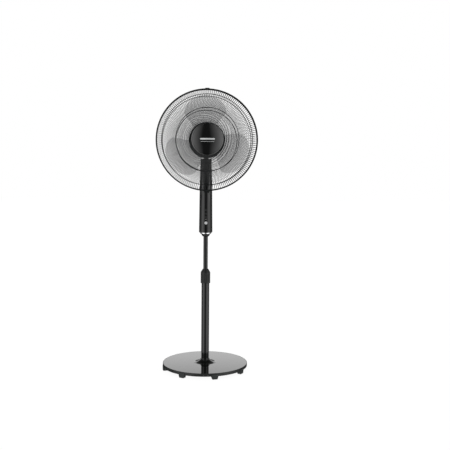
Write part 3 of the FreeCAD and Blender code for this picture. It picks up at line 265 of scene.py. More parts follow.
def peel_group():
    """Slow ripple that sprayed lacquer and enamel keep."""

    def build(t, given):
        slow = t.noise(given["Vector"], given["Scale"], 1.0, 0.4)
        quick = t.noise(given["Vector"], t.math("MULTIPLY", given["Scale"], 6.0), 1.0, 0.4)
        return {"Height": t.math("ADD", slow, t.math("MULTIPLY", quick, 0.12))}

    return group("Lacquer peel", [("Vector", "vector", None), ("Scale", "value", 60.0)],
                 [("Height", "value")], build)


# ---------------------------------------------------------------- finishes
def material(name):
    """A new material with an empty tree, its helper, its Principled shader, and object coordinates."""
    made = bpy.data.materials.new(name)
    made.use_nodes = True
    made.node_tree.nodes.clear()
    t = Tree(made.node_tree)
    shader = t.add("ShaderNodeBsdfPrincipled")
    out = t.add("ShaderNodeOutputMaterial")
    t.tree.links.new(shader.outputs[0], out.inputs["Surface"])
    return made, t, shader, t.add("ShaderNodeTexCoord")


def rgba(c, scale=1.0):
    return (c[0] * scale, c[1] * scale, c[2] * scale, 1.0)


def dust_on(t, place, amount):
    return t.shared(dust_group(), {"Vector": place.outputs["Object"], "Normal": place.outputs["Normal"],
                                   "Amount": amount})["Dust"]


def lacquer(name, base, roughness=0.03, peel=0.05, dust=0.05, coat=0.0, index=1.5):
    """Gloss black: tinted body under a clear coat, with smears, hairlines, ripple and a little dust."""
    made, t, shader, place = material(name)
    at = place.outputs["Object"]
    marks = t.shared(handling_group(), {"Vector": at, "Base": roughness, "Smears": 0.025, "Hairlines": 0.03})
    settled = dust_on(t, place, dust)
    ripple = t.shared(peel_group(), {"Vector": at})
    tint = t.mix(t.math("MULTIPLY", marks["Smears"], 0.5), rgba(base), rgba(base, 1.35))
    dulled = t.math("MULTIPLY", settled, 0.35)
    t.give(shader, {"Base Color": t.mix(settled, tint, (0.30, 0.29, 0.27, 1.0)),
                    "Roughness": t.math("ADD", marks["Roughness"], dulled, clamp=True),
                    "Normal": t.bump(ripple["Height"], peel, 0.0004),
                    "IOR": index, "Coat Weight": coat, "Coat Roughness": 0.02, "Coat IOR": 1.5})
    return made


def moulded(name, base, roughness=0.42, scale=2400.0, depth=0.25, dust=0.2, shine=0.3):
    """Satin plastic with a fine grain, paler on its high spots, and dust where it faces up."""
    made, t, shader, place = material(name)
    at = place.outputs["Object"]
    grain = t.shared(grain_group(), {"Vector": at, "Scale": scale})
    flow = t.noise(at, 22.0, 4.0, 0.6)
    tint = t.mix(t.span(flow, 0.3, 0.75), rgba(base, 0.85), rgba(base, 1.2))
    tint = t.mix(t.math("MULTIPLY", grain["Peaks"], 0.4), tint, rgba(base, 1.7))
    t.give(shader, {"Base Color": t.mix(dust_on(t, place, dust), tint, (0.26, 0.25, 0.23, 1.0)),
                    "Roughness": t.span(flow, 0.2, 0.8, roughness - 0.06, roughness + 0.08),
                    "Normal": t.bump(grain["Height"], depth, 0.0002),
                    "IOR": 1.5, "Specular IOR Level": shine})
    return made


def enamel(name, base, roughness=0.16, shine=0.5):
    """Sprayed and baked enamel on steel tube or wire."""
    made, t, shader, place = material(name)
    at = place.outputs["Object"]
    marks = t.shared(handling_group(), {"Vector": at, "Base": roughness, "Smears": 0.07, "Hairlines": 0.08})
    ripple = t.shared(peel_group(), {"Vector": at, "Scale": 220.0})
    specks = t.span(t.noise(at, 900.0, 1.0, 0.3), 0.68, 0.76)
    tint = t.mix(marks["Smears"], rgba(base), rgba(base, 1.4))
    t.give(shader, {"Base Color": t.mix(t.math("MULTIPLY", specks, 0.3), tint, rgba(base, 4.0)),
                    "Roughness": marks["Roughness"],
                    "Normal": t.bump(ripple["Height"], 0.05, 0.0002),
                    "Specular IOR Level": shine})
    return made


def metal(name, base, roughness, stretch=(300.0, 300.0, 300.0), depth=0.1, spread=0.12):
    """Bare or plated metal: machining or casting texture set by the stretch of its noise."""
    made, t, shader, place = material(name)
    at = place.outputs["Object"]
    lay = t.noise(t.stretched(at, stretch), 1.0, 3.0, 0.6)
    stain = t.span(t.noise(at, 30.0, 4.0, 0.6), 0.4, 0.75)
    tint = t.mix(stain, rgba(base), rgba(base, 0.78))
    t.give(shader, {"Base Color": t.mix(t.math("MULTIPLY", lay, 0.3), tint, rgba(base, 0.6)),
                    "Roughness": t.span(lay, 0.2, 0.8, roughness, roughness + spread),
                    "Normal": t.bump(lay, depth, 0.0002), "Metallic": 1.0})
    return made


def turned_metal(name, base, centre, roughness=0.34):
    """Metal faced in a lathe, with rings about a centre seen from the front."""
    made, t, shader, place = material(name)
    moved = t.add("ShaderNodeMapping", {"Vector": place.outputs["Object"],
                                        "Location": (-centre[0], 0.0, -centre[2])}).outputs[0]
    flat = t.stretched(moved, (1.0, 0.0, 1.0))
    out = t.add("ShaderNodeVectorMath", {0: flat}, operation="LENGTH").outputs["Value"]
    rings = t.add("ShaderNodeTexNoise", {"W": out, "Scale": 6000.0, "Detail": 2.0}, noise_dimensions="1D")
    lay = rings.outputs["Fac"]
    t.give(shader, {"Base Color": t.mix(lay, rgba(base), rgba(base, 0.8)),
                    "Roughness": t.span(lay, 0.3, 0.7, roughness, roughness + 0.12),
                    "Normal": t.bump(lay, 0.08, 0.0001), "Metallic": 0.15})
    return made


def smoked(name, base, alpha, roughness=0.09, shine=0.5):
    """Translucent smoked moulding with faint flow lines and gate swirls."""
    made, t, shader, place = material(name)
    at = place.outputs["Object"]
    flow = t.noise(t.stretched(at, (26.0, 8.0, 26.0)), 1.0, 4.0, 0.55)
    fine = t.noise(at, 420.0, 2.0, 0.5)
    t.give(shader, {"Base Color": t.mix(t.span(flow, 0.3, 0.7), rgba(base, 0.85), rgba(base, 1.15)),
                    "Roughness": t.span(fine, 0.3, 0.8, roughness, roughness + 0.08),
                    "Normal": t.bump(flow, 0.08, 0.001),
                    "Alpha": alpha, "IOR": 1.5, "Specular IOR Level": shine})
    return made


def laminated(name, base, pitch=2000.0):
    """Edges of stacked sheet steel, across the motor's axis."""
    made, t, shader, place = material(name)
    at = place.outputs["Object"]
    wave = t.add("ShaderNodeTexWave", {"Vector": at, "Scale": pitch / WHOLE, "Distortion": 0.4},
                 wave_type="BANDS", bands_direction="Y").outputs["Fac"]
    rust = t.span(t.noise(at, 120.0, 4.0, 0.6), 0.5, 0.75)
    tint = t.mix(wave, rgba(base, 0.5), rgba(base))
    t.give(shader, {"Base Color": t.mix(t.math("MULTIPLY", rust, 0.4), tint, (0.16, 0.08, 0.04, 1.0)),
                    "Roughness": t.span(wave, 0.0, 1.0, 0.5, 0.3),
                    "Normal": t.bump(wave, 0.3, 0.0002), "Metallic": 0.8})
    return made


def wound(name, base):
    """Varnished copper wire wound in a coil."""
    made, t, shader, place = material(name)
    at = place.outputs["Object"]
    wave = t.add("ShaderNodeTexWave", {"Vector": at, "Scale": 230.0, "Distortion": 3.0, "Detail": 2.0},
                 wave_type="RINGS", rings_direction="Y").outputs["Fac"]
    t.give(shader, {"Base Color": t.mix(wave, rgba(base, 0.35), rgba(base)),
                    "Roughness": t.span(wave, 0.0, 1.0, 0.45, 0.22),
                    "Normal": t.bump(wave, 0.5, 0.0004), "Metallic": 0.7, "Coat Weight": 0.5})
    return made


def board(name):
    """Green board with copper tracks under the mask."""
    made, t, shader, place = material(name)
    at = place.outputs["Object"]
    cells = t.add("ShaderNodeTexVoronoi", {"Vector": t.stretched(at, (260.0, 1.0, 90.0)), "Scale": 1.0},
                  distance="CHEBYCHEV", feature="F1").outputs["Distance"]
    tracks = t.span(cells, 0.36, 0.40)
    t.give(shader, {"Base Color": t.mix(tracks, (0.006, 0.045, 0.016, 1.0), (0.02, 0.13, 0.045, 1.0)),
                    "Roughness": t.span(tracks, 0.0, 1.0, 0.35, 0.22), "Normal": t.bump(tracks, 0.2, 0.0001)})
    return made


def studio_floor(base):
    """Matt surface that glows evenly, like a light table."""
    made, t, shader, place = material("pale_floor")
    shade = t.noise(place.outputs["Object"], 3.0, 3.0, 0.5)
    t.give(shader, {"Base Color": t.mix(shade, rgba(base, 0.06), rgba(base, 0.07)),
                    "Emission Color": rgba(base), "Emission Strength": 1.05,
                    "Roughness": 0.9, "Specular IOR Level": 0.1})
    return made


FINISHES = {}       # the finishes made so far


def finish_of(slot):
    """The finish of a material slot, made at its first use."""
    if slot not in FINISHES:
        c = colours()
        makers = {
            "gloss_black": lambda: lacquer("gloss_black", c.gloss),
            "base_gloss": lambda: lacquer("base_gloss", c.gloss, dust=0.05, coat=1.0),
            "badge_black": lambda: lacquer("badge_black", c.gloss, dust=0.01, coat=1.0, index=2.1),
            "satin_black": lambda: moulded("satin_black", c.satin),
            "tube_black": lambda: enamel("tube_black", c.tube, 0.10),
            "tube_inner": lambda: enamel("tube_inner", c.tube, 0.2, 0.4),
            "cast_weight": lambda: metal("cast_weight", (0.09, 0.09, 0.092), 0.55, (500, 500, 500), 0.4),
            "zinc_steel": lambda: metal("zinc_steel", (0.56, 0.57, 0.58), 0.25, (200, 900, 200), 0.1),
            "bright_chrome": lambda: metal("bright_chrome", (0.86, 0.87, 0.88), 0.04, (60, 60, 60), 0.02, 0.04),
            "silver_button": lambda: turned_metal("silver_button", c.silver, middle_of("power_button")),
            "white_pom": lambda: moulded("white_pom", (0.62, 0.62, 0.58), 0.38, 1500.0, 0.1, 0.02),
            "foot_rubber": lambda: moulded("foot_rubber", c.rubber, 0.6, 1800.0, 0.35, 0.15),
            "display_lens": lambda: lacquer("display_lens", (0.002, 0.002, 0.0024), 0.02, 0.02, 0.03),
            "eye_lens": lambda: moulded("eye_lens", (0.30, 0.29, 0.28), 0.2, 900.0, 0.05, 0.0),
            "board_green": lambda: board("board_green"),
            "board_parts": lambda: moulded("board_parts", (0.03, 0.03, 0.032), 0.45, 2200.0, 0.2, 0.1),
            "die_cast": lambda: metal("die_cast", (0.42, 0.42, 0.43), 0.42, (700, 700, 700), 0.35),
            "lamination": lambda: laminated("lamination", (0.32, 0.32, 0.33)),
            "winding": lambda: wound("winding", (0.62, 0.25, 0.09)),
            "cage_wire": lambda: enamel("cage_wire", c.cage, 0.3, 0.2),
            "cage_band": lambda: moulded("cage_band", c.cage, 0.3, 2600.0, 0.12, 0.1),
            "smoke_blade": lambda: smoked("smoke_blade", c.smoke, 0.19),
            "smoke_hub": lambda: smoked("smoke_hub", (0.003, 0.0032, 0.0035), 0.97, 0.3, 0.12),
            "white_print": lambda: moulded("white_print", c.white, 0.3, 3000.0, 0.05, 0.0),
        }
        FINISHES[slot] = makers[slot]()
    return FINISHES[slot]


# ---------------------------------------------------------------- mesh helpers
def middle_of(node):
    low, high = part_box(node)
    return (low + high) / 2


def fillet(points, radii, steps=5, closed=True):
    """Outline with its corners rounded; a corner whose radius is nought stays sharp."""
    made = []
    count = len(points)
    for k, point in enumerate(points):
        radius = radii[k] if k < len(radii) else 0.0
        if radius <= 0 or (not closed and k in (0, count - 1)):
            made.append(tuple(point))
            continue
        here = Vector(point)
        before = (Vector(points[k - 1]) - here).normalized()
        after = (Vector(points[(k + 1) % count]) - here).normalized()
        half = acos(max(-1.0, min(1.0, before.dot(after)))) / 2
        if half > pi / 2 - 1e-3:
            made.append(tuple(point))
            continue
        reach = radius / tan(half)
        centre = here + (before + after).normalized() * (radius / sin(half))
        first, last = here + before * reach - centre, here + after * reach - centre
        start, turn = atan2(first.y, first.x), first.angle_signed(last)
        for i in range(steps + 1):
            a = start - turn * i / steps
            made.append((centre.x + radius * cos(a), centre.y + radius * sin(a)))
    return made


# what a lathe turns about: how a (radius, along) point is placed, the centre, and the axis
POLE = (lambda r, h: (r, 0.0, h), (0.0, 0.0, 0.0), (0.0, 0.0, 1.0))
HEAD = (lambda r, ahead: (r, -ahead, AXIS_Z), (0.0, 0.0, AXIS_Z), (0.0, 1.0, 0.0))


def lathe(bm, outline, about=POLE, steps=96, closed=True):
    """Spins an outline of (radius, along) points once round about the pole or another axis."""
    place, centre, axis = about
    verts = [bm.verts.new(place(*point)) for point in outline]
    edges = [bm.edges.new(pair) for pair in zip(verts, verts[1:])]
    if closed:
        edges.append(bm.edges.new((verts[-1], verts[0])))
    bmesh.ops.spin(bm, geom=verts + edges, cent=centre, axis=axis, dvec=(0, 0, 0), angle=WHOLE, steps=steps,
                   use_merge=True)
    bmesh.ops.remove_doubles(bm, verts=bm.verts, dist=1e-7)


def everything(bm):
    return list(bm.verts) + list(bm.edges) + list(bm.faces)


def repeat(bm, count, about):
    """Copies what the mesh holds round an axis, so that it stands there count times."""
    _, centre, axis = about
    bmesh.ops.spin(bm, geom=everything(bm), cent=centre, axis=axis, dvec=(0, 0, 0),
                   angle=WHOLE * (count - 1) / count, steps=count - 1, use_duplicate=True)


def cut_across(bm, places, normal):
    """Edge loops across the whole mesh, at places along a normal."""
    for place in places:
        bmesh.ops.bisect_plane(bm, geom=everything(bm), dist=1e-6, plane_co=Vector(normal) * place,
                               plane_no=normal)


def arc(centre, radius, first, last, steps):
    """Points of an arc about a centre, without its first point; angles in radians."""
    return [(centre[0] + radius * cos(first + (last - first) * k / steps),
             centre[1] + radius * sin(first + (last - first) * k / steps)) for k in range(1, steps + 1)]


def sharpen(bm, angle):
    """Smooth faces, with the edges that turn by more than an angle left sharp."""
    for face in bm.faces:
        face.smooth = True
    for edge in bm.edges:
        edge.smooth = len(edge.link_faces) != 2 or edge.calc_face_angle(0.0) < angle


def piece(name, bm, body, slot, finish=None, stands_for=(), crease=CREASE, even=False):
    """Makes a mesh a finished piece that rides on a body; even keeps wide faces flat beside small rounds."""
    bmesh.ops.recalc_face_normals(bm, faces=bm.faces)
    sharpen(bm, crease)
    mesh = bpy.data.meshes.new(name)
    bm.to_mesh(mesh)
    bm.free()
    made = bpy.data.objects.new(name, mesh)
    bpy.context.scene.collection.objects.link(made)
    mesh.materials.append(finish_of(finish or slot))
    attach(made, body)
    if stands_for:
        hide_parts(*stands_for)
    if even:
        shading = made.modifiers.new("shading", "WEIGHTED_NORMAL")
        shading.keep_sharp = True
    return made


def shown_body(node):
    return frame["nodes"][node]["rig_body"]


def copied(node):
    """A merged copy of a CAD node's mesh, with its flat faces whole again."""
    bm = bmesh.new()
    bm.from_mesh(frame["nodes"][node].data)
    bmesh.ops.remove_doubles(bm, verts=bm.verts, dist=1e-6)
    bmesh.ops.dissolve_limit(bm, angle_limit=radians(0.6), verts=bm.verts, edges=bm.edges)
    return bm


def eased(node, name, slot, width=None):
    """The CAD node's own shape with its edges rounded, as a moulding has them."""
    made = piece(name, copied(node), shown_body(node), slot, stands_for=(node,))
    soft = made.modifiers.new("edges", "BEVEL")
    soft.width = width or sizes().edge
    soft.segments = 2
    soft.limit_method = "ANGLE"
    soft.angle_limit = CREASE
    soft.harden_normals = True
    soft.use_clamp_overlap = True
    return made


def paint(node, slot):
    """Gives a CAD node that keeps its own mesh its finish."""
    shown = frame["nodes"][node]
    finish = finish_of(slot)
    if not shown.material_slots:
        raise RuntimeError(f"{node} has no material slot")
    for held in shown.material_slots:
        held.material = finish


def tube_along(points, radius, sides=1):
    """Mesh of a round wire along points: a beveled curve turned into faces, with closed ends."""
    data = bpy.data.curves.new("wire", "CURVE")
    data.dimensions = "3D"
    data.bevel_depth = radius
    data.bevel_resolution = sides
    data.use_fill_caps = True
    spline = data.splines.new("POLY")
    spline.points.add(len(points) - 1)
    for held, point in zip(spline.points, points):
        held.co = (*point, 1.0)
    carrier = bpy.data.objects.new("wire", data)
    mesh = bpy.data.meshes.new_from_object(carrier)
    bpy.data.objects.remove(carrier)
    bpy.data.curves.remove(data)
    return mesh


# ---------------------------------------------------------------- base
def base_cover():
    """Mirror-gloss disc with its flare up to the pole."""
    low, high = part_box("base_cover")
    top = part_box("rim_trim")[1].z
    thick = top - low.z
    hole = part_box("outer_tube")[1].x + 0.00015
    flare_r, rise, outer, edge = 0.052, high.z - top, high.x, 0.0009
    reach = flare_r - hole
    bend = (reach ** 2 + rise ** 2) / (2 * rise)
    sweep = 2 * atan2(rise, reach)
    steps = 24
    turns = [sweep * (1 - k / steps) for k in range(steps + 1)]
    flare = [(flare_r - bend * sin(a), top + bend * (1 - cos(a))) for a in turns]
    rim = [(outer - edge, top)] + arc((outer - edge, top - edge), edge, pi / 2, 0.0, 4)
    under = [(outer, low.z), (flare_r, low.z)]
    half = steps // 2
    lean = 0.2      # how far the flare's underside leans in, as a share of the plate's thickness
    back = [(r - thick * sin(sweep * (1 - k / half)) * lean, max(h - thick, low.z))
            for k, (r, h) in enumerate(reversed(flare[::2]))][1:-1]
    bm = bmesh.new()
    lathe(bm, flare + rim + under + back + [(hole, high.z - thick)], POLE, 192)
    return piece("base_cover_gloss", bm, "base", "gloss_black", "base_gloss", ("base_cover",), even=True)


def base_rim():
    """Satin ring with a rounded top edge and a shallow bead."""
    low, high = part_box("rim_trim")
    outer, inner = high.x, high.x - 0.010
    ledge_r, ledge_z = outer - 0.006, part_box("base_cover")[0].z
    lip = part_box("base_cover")[1].x + 0.00015
    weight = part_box("base_weight")[0].z
    bead, bead_low, bead_high = 0.0005, low.z + 0.0035, low.z + 0.0057
    points = [(inner, low.z), (outer, low.z), (outer, bead_low), (outer - bead, bead_low + bead),
              (outer - bead, bead_high - bead), (outer, bead_high), (outer, high.z), (lip, high.z),
              (lip, ledge_z), (ledge_r, ledge_z), (ledge_r, weight), (inner, weight)]
    radii = [0.0004, 0.0012, 0.0003, 0.0002, 0.0002, 0.0003, 0.0009, 0.0, 0, 0, 0, 0]
    bm = bmesh.new()
    lathe(bm, fillet(points, radii, 4), POLE, 192)
    return piece("base_rim", bm, "base", "satin_black", stands_for=("rim_trim",), even=True)


def base_feet():
    return eased("base_feet", "rim_pads", "foot_rubber", width=0.0005)


# ---------------------------------------------------------------- pole
def pole_tubes():
    """Outer and inner tube, open at both ends."""
    for node, name, slot, wall in (("outer_tube", "pole_outer", "tube_black", 0.0012),
                                   ("inner_tube", "pole_inner", "tube_inner", 0.0010)):
        low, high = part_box(node)
        outer, inner = high.x, high.x - wall
        points = [(outer, low.z), (outer, high.z), (inner, high.z), (inner, low.z)]
        bm = bmesh.new()
        lathe(bm, fillet(points, [sizes().tube_rounding] * 4, 3))
        piece(name, bm, shown_body(node), slot, stands_for=(node,), even=True)


def lock_collar():
    """Twist collar: fluted grip between two plain bands, coned shoulder, sharp-edged mouth."""
    low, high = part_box("lock_collar")
    outer, cone_r, lip, cone_wall = high.x, 0.013, 0.004, 0.005
    bore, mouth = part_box("outer_tube")[1].x + 0.00025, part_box("inner_tube")[1].x + 0.0004
    shoulder = high.z - 0.014
    points = [(bore, low.z), (outer, low.z), (outer, shoulder), (cone_r, high.z), (mouth, high.z),
              (mouth, high.z - lip), (bore, shoulder - cone_wall)]
    bm = bmesh.new()
    lathe(bm, fillet(points, [0.0003, 0.0010, 0.0008, 0.0010, 0.0003, 0.0, 0.0], 5), POLE, 240)
    flutes, bite, margin, run_out, skin = 20, 0.0009, 0.004, 0.0035, 0.0004
    lowest, highest = low.z + margin, shoulder - margin
    bands = 10
    cut_across(bm, [lowest + (highest - lowest) * k / bands for k in range(bands + 1)], (0, 0, 1))
    for vert in bm.verts:
        r = sqrt(vert.co.x ** 2 + vert.co.y ** 2)
        if r < outer - skin or not lowest - 1e-6 < vert.co.z < highest + 1e-6:
            continue
        wave = max(0.0, cos(flutes * atan2(vert.co.y, vert.co.x))) ** 3
        fade = min(1.0, min(vert.co.z - lowest, highest - vert.co.z) / run_out)
        push = 1 - bite * wave * sqrt(max(0.0, fade)) / r
        vert.co.x *= push
        vert.co.y *= push
    return piece("twist_collar", bm, "lock_collar", "satin_black", stands_for=("lock_collar",), even=True)


# ---------------------------------------------------------------- column
def socket_cup():
    return eased("tube_socket", "column_cup", "satin_black", width=0.0004)


def chrome_ring():
    """Bright quarter-round ring between the cup and the column."""
    low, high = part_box("chrome_ring")
    top_r, foot_r, inner, steps = high.x, 0.0192, 0.01815, 12
    points = [(inner, low.z), (foot_r, low.z)]
    for k in range(1, steps):
        a = pi / 2 * k / steps
        points.append((foot_r + (top_r - foot_r) * sin(a), low.z + (high.z - low.z) * (1 - cos(a))))
    points += [(top_r, high.z), (inner, high.z)]
    bm = bmesh.new()
    lathe(bm, points, POLE, 160)
    return piece("chrome_ring_bright", bm, "mast", "bright_chrome", stands_for=("chrome_ring",),
                 crease=radians(50))


def column_shells():
    eased("column_front", "column_front_shell", "gloss_black", width=0.0004)
    eased("column_rear", "column_rear_shell", "gloss_black", width=0.0004)
    eased("facia", "arched_facia", "gloss_black", width=0.0003)
    eased("cord_gland", "cord_grommet", "foot_rubber", width=0.0003)


def push_button(node, name, slot, dish):
    """Cap with a dished face and a rounded rim, on a flange and a stem."""
    low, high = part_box(node)
    centre = middle_of(node)
    flange = (high.x - low.x) / 2
    cap, stem, rim, steps = flange - 0.0013, 0.0016, 0.0006, 8
    front, back = low.y, high.y
    shoulder, heel = front + 0.0035, front + 0.0035 + 0.0012
    outline = [(0.0, back), (stem, back), (stem, heel), (flange, heel), (flange, shoulder), (cap, shoulder),
               (cap, front + rim)]
    outline += arc((cap - rim, front + rim), rim, 0.0, -pi / 2, 4)
    face = [(cap * (1 - k / steps), front + dish * (1 - (1 - k / steps) ** 2)) for k in range(1, steps + 1)]
    outline += [point for point in face if point[0] < cap - rim]
    bm = bmesh.new()
    about = (lambda r, y: (centre.x + r, y, centre.z), (centre.x, 0.0, centre.z), (0.0, 1.0, 0.0))
    lathe(bm, outline, about, 48, closed=False)
    return piece(name, bm, shown_body(node), slot, stands_for=(node,), even=True)


def buttons():
    for key in ("speed", "mode", "timer"):
        push_button(f"{key}_button", f"{key}_key_cap", "satin_black", 0.0004)
    push_button("power_button", "power_key_cap", "silver_button", 0.0005)


def panel_trim():
    """Window and eye of the facia, with their own finishes."""
    eased("display_window", "display_glass", "display_lens", width=0.0002)
    eased("receiver_eye", "receiver_window", "eye_lens", width=0.0003)


# ---------------------------------------------------------------- cage
def rim_radius():
    return CAGE_RADIUS - BAND_WALL - BAND_GAP - sizes().rim_wire


def cage_sizes(front):
    """(start radius, wire end radius, rim ahead, depth, power, swirl) of one half of the cage."""
    s = sizes()
    end = rim_radius() - s.rim_wire - s.wire - 0.00005
    apart = 0.0026      # from the band's middle to either rim wire
    if front:
        return 0.061, end, BAND_MIDDLE + apart, 0.0555, 3.0, s.front_swirl
    return 0.049, end, BAND_MIDDLE - apart, -0.066, 6.0, s.rear_swirl


def ease_in_out(t):
    t = min(max(t, 0.0), 1.0)
    return t * t * (3 - 2 * t)


def dish(front, r):
    """Place ahead, and outward normal as (radial, ahead), of the dish at a radius."""
    _, end, rim, deep, power, _ = cage_sizes(front)
    x = min(r / end, 1.0)
    rise = sqrt(max(1 - x ** power, 1e-9))
    slope = -deep * power * x ** (power - 1) / (2 * end * rise)
    size = sqrt(1 + slope * slope)
    return rim + deep * rise, (-slope / size, 1 / size)


def inside(front, r, gap):
    """(radius, ahead) of a point a gap inside the dish, square to it at a radius."""
    ahead, normal = dish(front, r)
    inward = -1 if front else 1
    return r + inward * normal[0] * gap, ahead + inward * normal[1] * gap


def swirled(front, r):
    """How far a wire has turned about the motor's axis at a radius."""
    start, _, _, _, _, swirl = cage_sizes(front)
    return swirl * ease_in_out((r - start) / (sizes().outer_ring - start))


def wire_path(front, segments=8):
    """Centre line of one wire, from the middle out to the rim."""
    start, end, rim, deep, power, _ = cage_sizes(front)
    first = asin((start / end) ** (power / 2))
    made = []
    for k in range(segments + 1):
        a = first + (pi / 2 - first) * (k / segments) ** 0.92
        r = end * sin(a) ** (2 / power)
        turn = swirled(front, r)
        made.append((r * cos(turn), -(rim + deep * cos(a)), AXIS_Z + r * sin(turn)))
    return made


def cage_wires(front, name, node):
    bm = bmesh.new()
    bm.from_mesh(tube_along(wire_path(front), sizes().wire))
    repeat(bm, sizes().wires, HEAD)
    return piece(name, bm, "swing_head", "cage_wire", stands_for=(node,))


def hoop(bm, radius, ahead, wire, steps=160):
    """Round wire ring about the motor's axis, added to a mesh."""
    made = bmesh.ops.create_circle(bm, cap_ends=False, segments=10, radius=wire,
                                   matrix=Matrix.Translation((radius, -ahead, AXIS_Z)))
    edges = list({edge for vert in made["verts"] for edge in vert.link_edges})
    bmesh.ops.spin(bm, geom=made["verts"] + edges, cent=HEAD[1], axis=HEAD[2], dvec=(0, 0, 0), angle=WHOLE,
                   steps=steps, use_merge=True)


def weld_beads(bm, front, r):
    """Squashed bead where each wire crosses a ring."""
    out, ahead = inside(front, r, sizes().wire)
    squash = Matrix.Diagonal((0.0013, 0.0009, 0.0013, 1))
    bead = bmesh.new()
    bmesh.ops.create_icosphere(bead, subdivisions=1, radius=1.0,
                               matrix=Matrix.Translation((out, -ahead, 0.0)) @ squash)
    bmesh.ops.rotate(bead, cent=(0, 0, 0), matrix=Matrix.Rotation(-swirled(front, r), 3, "Y"), verts=bead.verts)
    bmesh.ops.translate(bead, vec=(0, 0, AXIS_Z), verts=bead.verts)
    repeat(bead, sizes().wires, HEAD)
    held = bpy.data.meshes.new("beads")
    bead.to_mesh(held)
    bead.free()
    bm.from_mesh(held)
    bpy.data.meshes.remove(held)


def cage_rings(front, name, node, radii):
    """Rings inside the wires of one half of the cage, its rim wire, and the welds."""
    s = sizes()
    bm = bmesh.new()
    for r in radii:
        hoop(bm, *inside(front, r, s.wire + s.ring_wire + 0.00003), s.ring_wire)
    hoop(bm, rim_radius(), cage_sizes(front)[2], s.rim_wire)
    for r in radii:
        weld_beads(bm, front, r)
    return piece(name, bm, "swing_head", "cage_wire", stands_for=(node,))


def cage():
    s = sizes()
    cage_wires(True, "front_grille_wires", "front_wires")
    cage_wires(False, "rear_grille_wires", "rear_wires")
    cage_rings(True, "front_grille_rings", "front_rings", (s.inner_ring, s.middle_ring, s.outer_ring))
    cage_rings(False, "rear_grille_rings", "rear_rings", (s.middle_ring, s.outer_ring))
    eased("rear_plate", "rear_grille_plate", "cage_wire", width=0.0003)
    eased("grille_nut", "grille_ring_nut", "satin_black")


def rim_band():
    """Rolled channel over both rim wires."""
    near, far = -BAND_BOX[1].y, -BAND_BOX[0].y
    outer, wall, lip = CAGE_RADIUS, BAND_WALL, 0.0058
    points = [(outer - lip, near), (outer, near), (outer, far), (outer - lip, far), (outer - lip, far - wall),
              (outer - wall, far - wall), (outer - wall, near + wall), (outer - lip, near + wall)]
    radii = [0.0005, 0.0022, 0.0022, 0.0005, 0.0005, 0.0008, 0.0008, 0.0005]
    bm = bmesh.new()
    lathe(bm, fillet(points, radii, 4), HEAD, 240)
    piece("cage_rim_band", bm, "swing_head", "cage_band", stands_for=("rim_band",), even=True)
    eased("rim_clips", "cage_rim_clips", "cage_band", width=0.0006)


# ---------------------------------------------------------------- badge
def badge_disc():
    """Crowned gloss disc with a fine bright-cut groove near its rim, a blank inlay and a printed line."""
    low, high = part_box("badge")
    back, front, outer = -high.y, -low.y, high.x
    crown, edge, chamfer, cut = 0.0058, 0.0014, 0.0006, 0.0004
    flat, inner = front - crown, outer - edge
    groove, steps = inner - 0.0035, 30

    def face(r):
        """How far ahead the crowned face is at a radius."""
        return flat + crown * (1 - (r / inner) ** 2.4)

    points = [(0.0, back), (outer - chamfer, back), (outer, back + chamfer), (outer, flat - edge)]
    points += arc((inner, flat - edge), edge, 0.0, pi / 2, 6)
    points += [(groove + cut, face(groove + cut)), (groove, face(groove) - cut),
               (groove - cut, face(groove - cut))]
    points += [(groove * (1 - k / steps), face(groove * (1 - k / steps))) for k in range(1, steps)]
    points.append((0.0, front))
    bm = bmesh.new()
    lathe(bm, points, HEAD, 160, closed=False)
    piece("badge_disc", bm, "swing_head", "gloss_black", "badge_black", ("badge",), even=True)
    inlay_bar("badge_inlay", 0.063, 0.0068, 0.0, 0.0002, face)
    inlay_bar("badge_line", 0.058, 0.0012, -0.0112, 0.0001, face)


def inlay_bar(name, long, tall, drop, proud, face):
    """Round-ended bar across the badge, bent to follow its crowned face and standing a little proud of it."""
    deep, soft, pitch, cuts = 0.0008, min(0.0003, tall / 5), 0.0037, 8
    bm = bmesh.new()
    half = long / 2 - tall / 2
    for side in (-1, 1):
        end = bmesh.ops.create_circle(bm, cap_ends=False, segments=24, radius=tall / 2,
                                      matrix=Matrix.Translation((side * half, 0, 0)))["verts"]
        near_middle = [v for v in end if (v.co.x - side * half) * side < -1e-7]
        bmesh.ops.delete(bm, geom=near_middle, context="VERTS")
    bmesh.ops.contextual_create(bm, geom=list(bm.verts))
    grown = bmesh.ops.extrude_face_region(bm, geom=list(bm.faces))
    top = [g for g in grown["geom"] if isinstance(g, bmesh.types.BMVert)]
    bmesh.ops.translate(bm, vec=(0, 0, deep), verts=top)
    rim = [e for e in bm.edges if all(v.co.z > deep / 2 for v in e.verts)]
    bmesh.ops.bevel(bm, geom=rim, offset=soft, affect="EDGES", segments=2, profile=0.5, material=-1)
    upright = Matrix.Rotation(pi / 2, 4, "X")
    place = Matrix.Translation((0, deep - proud, AXIS_Z + drop))
    bmesh.ops.transform(bm, matrix=place @ upright, verts=bm.verts)
    cut_across(bm, [k * pitch for k in range(-cuts, cuts + 1)], (1, 0, 0))
    for vert in bm.verts:
        vert.co.y -= face(sqrt(vert.co.x ** 2 + (vert.co.z - AXIS_Z) ** 2))
    return piece(name, bm, "swing_head", "gloss_black", "white_print")


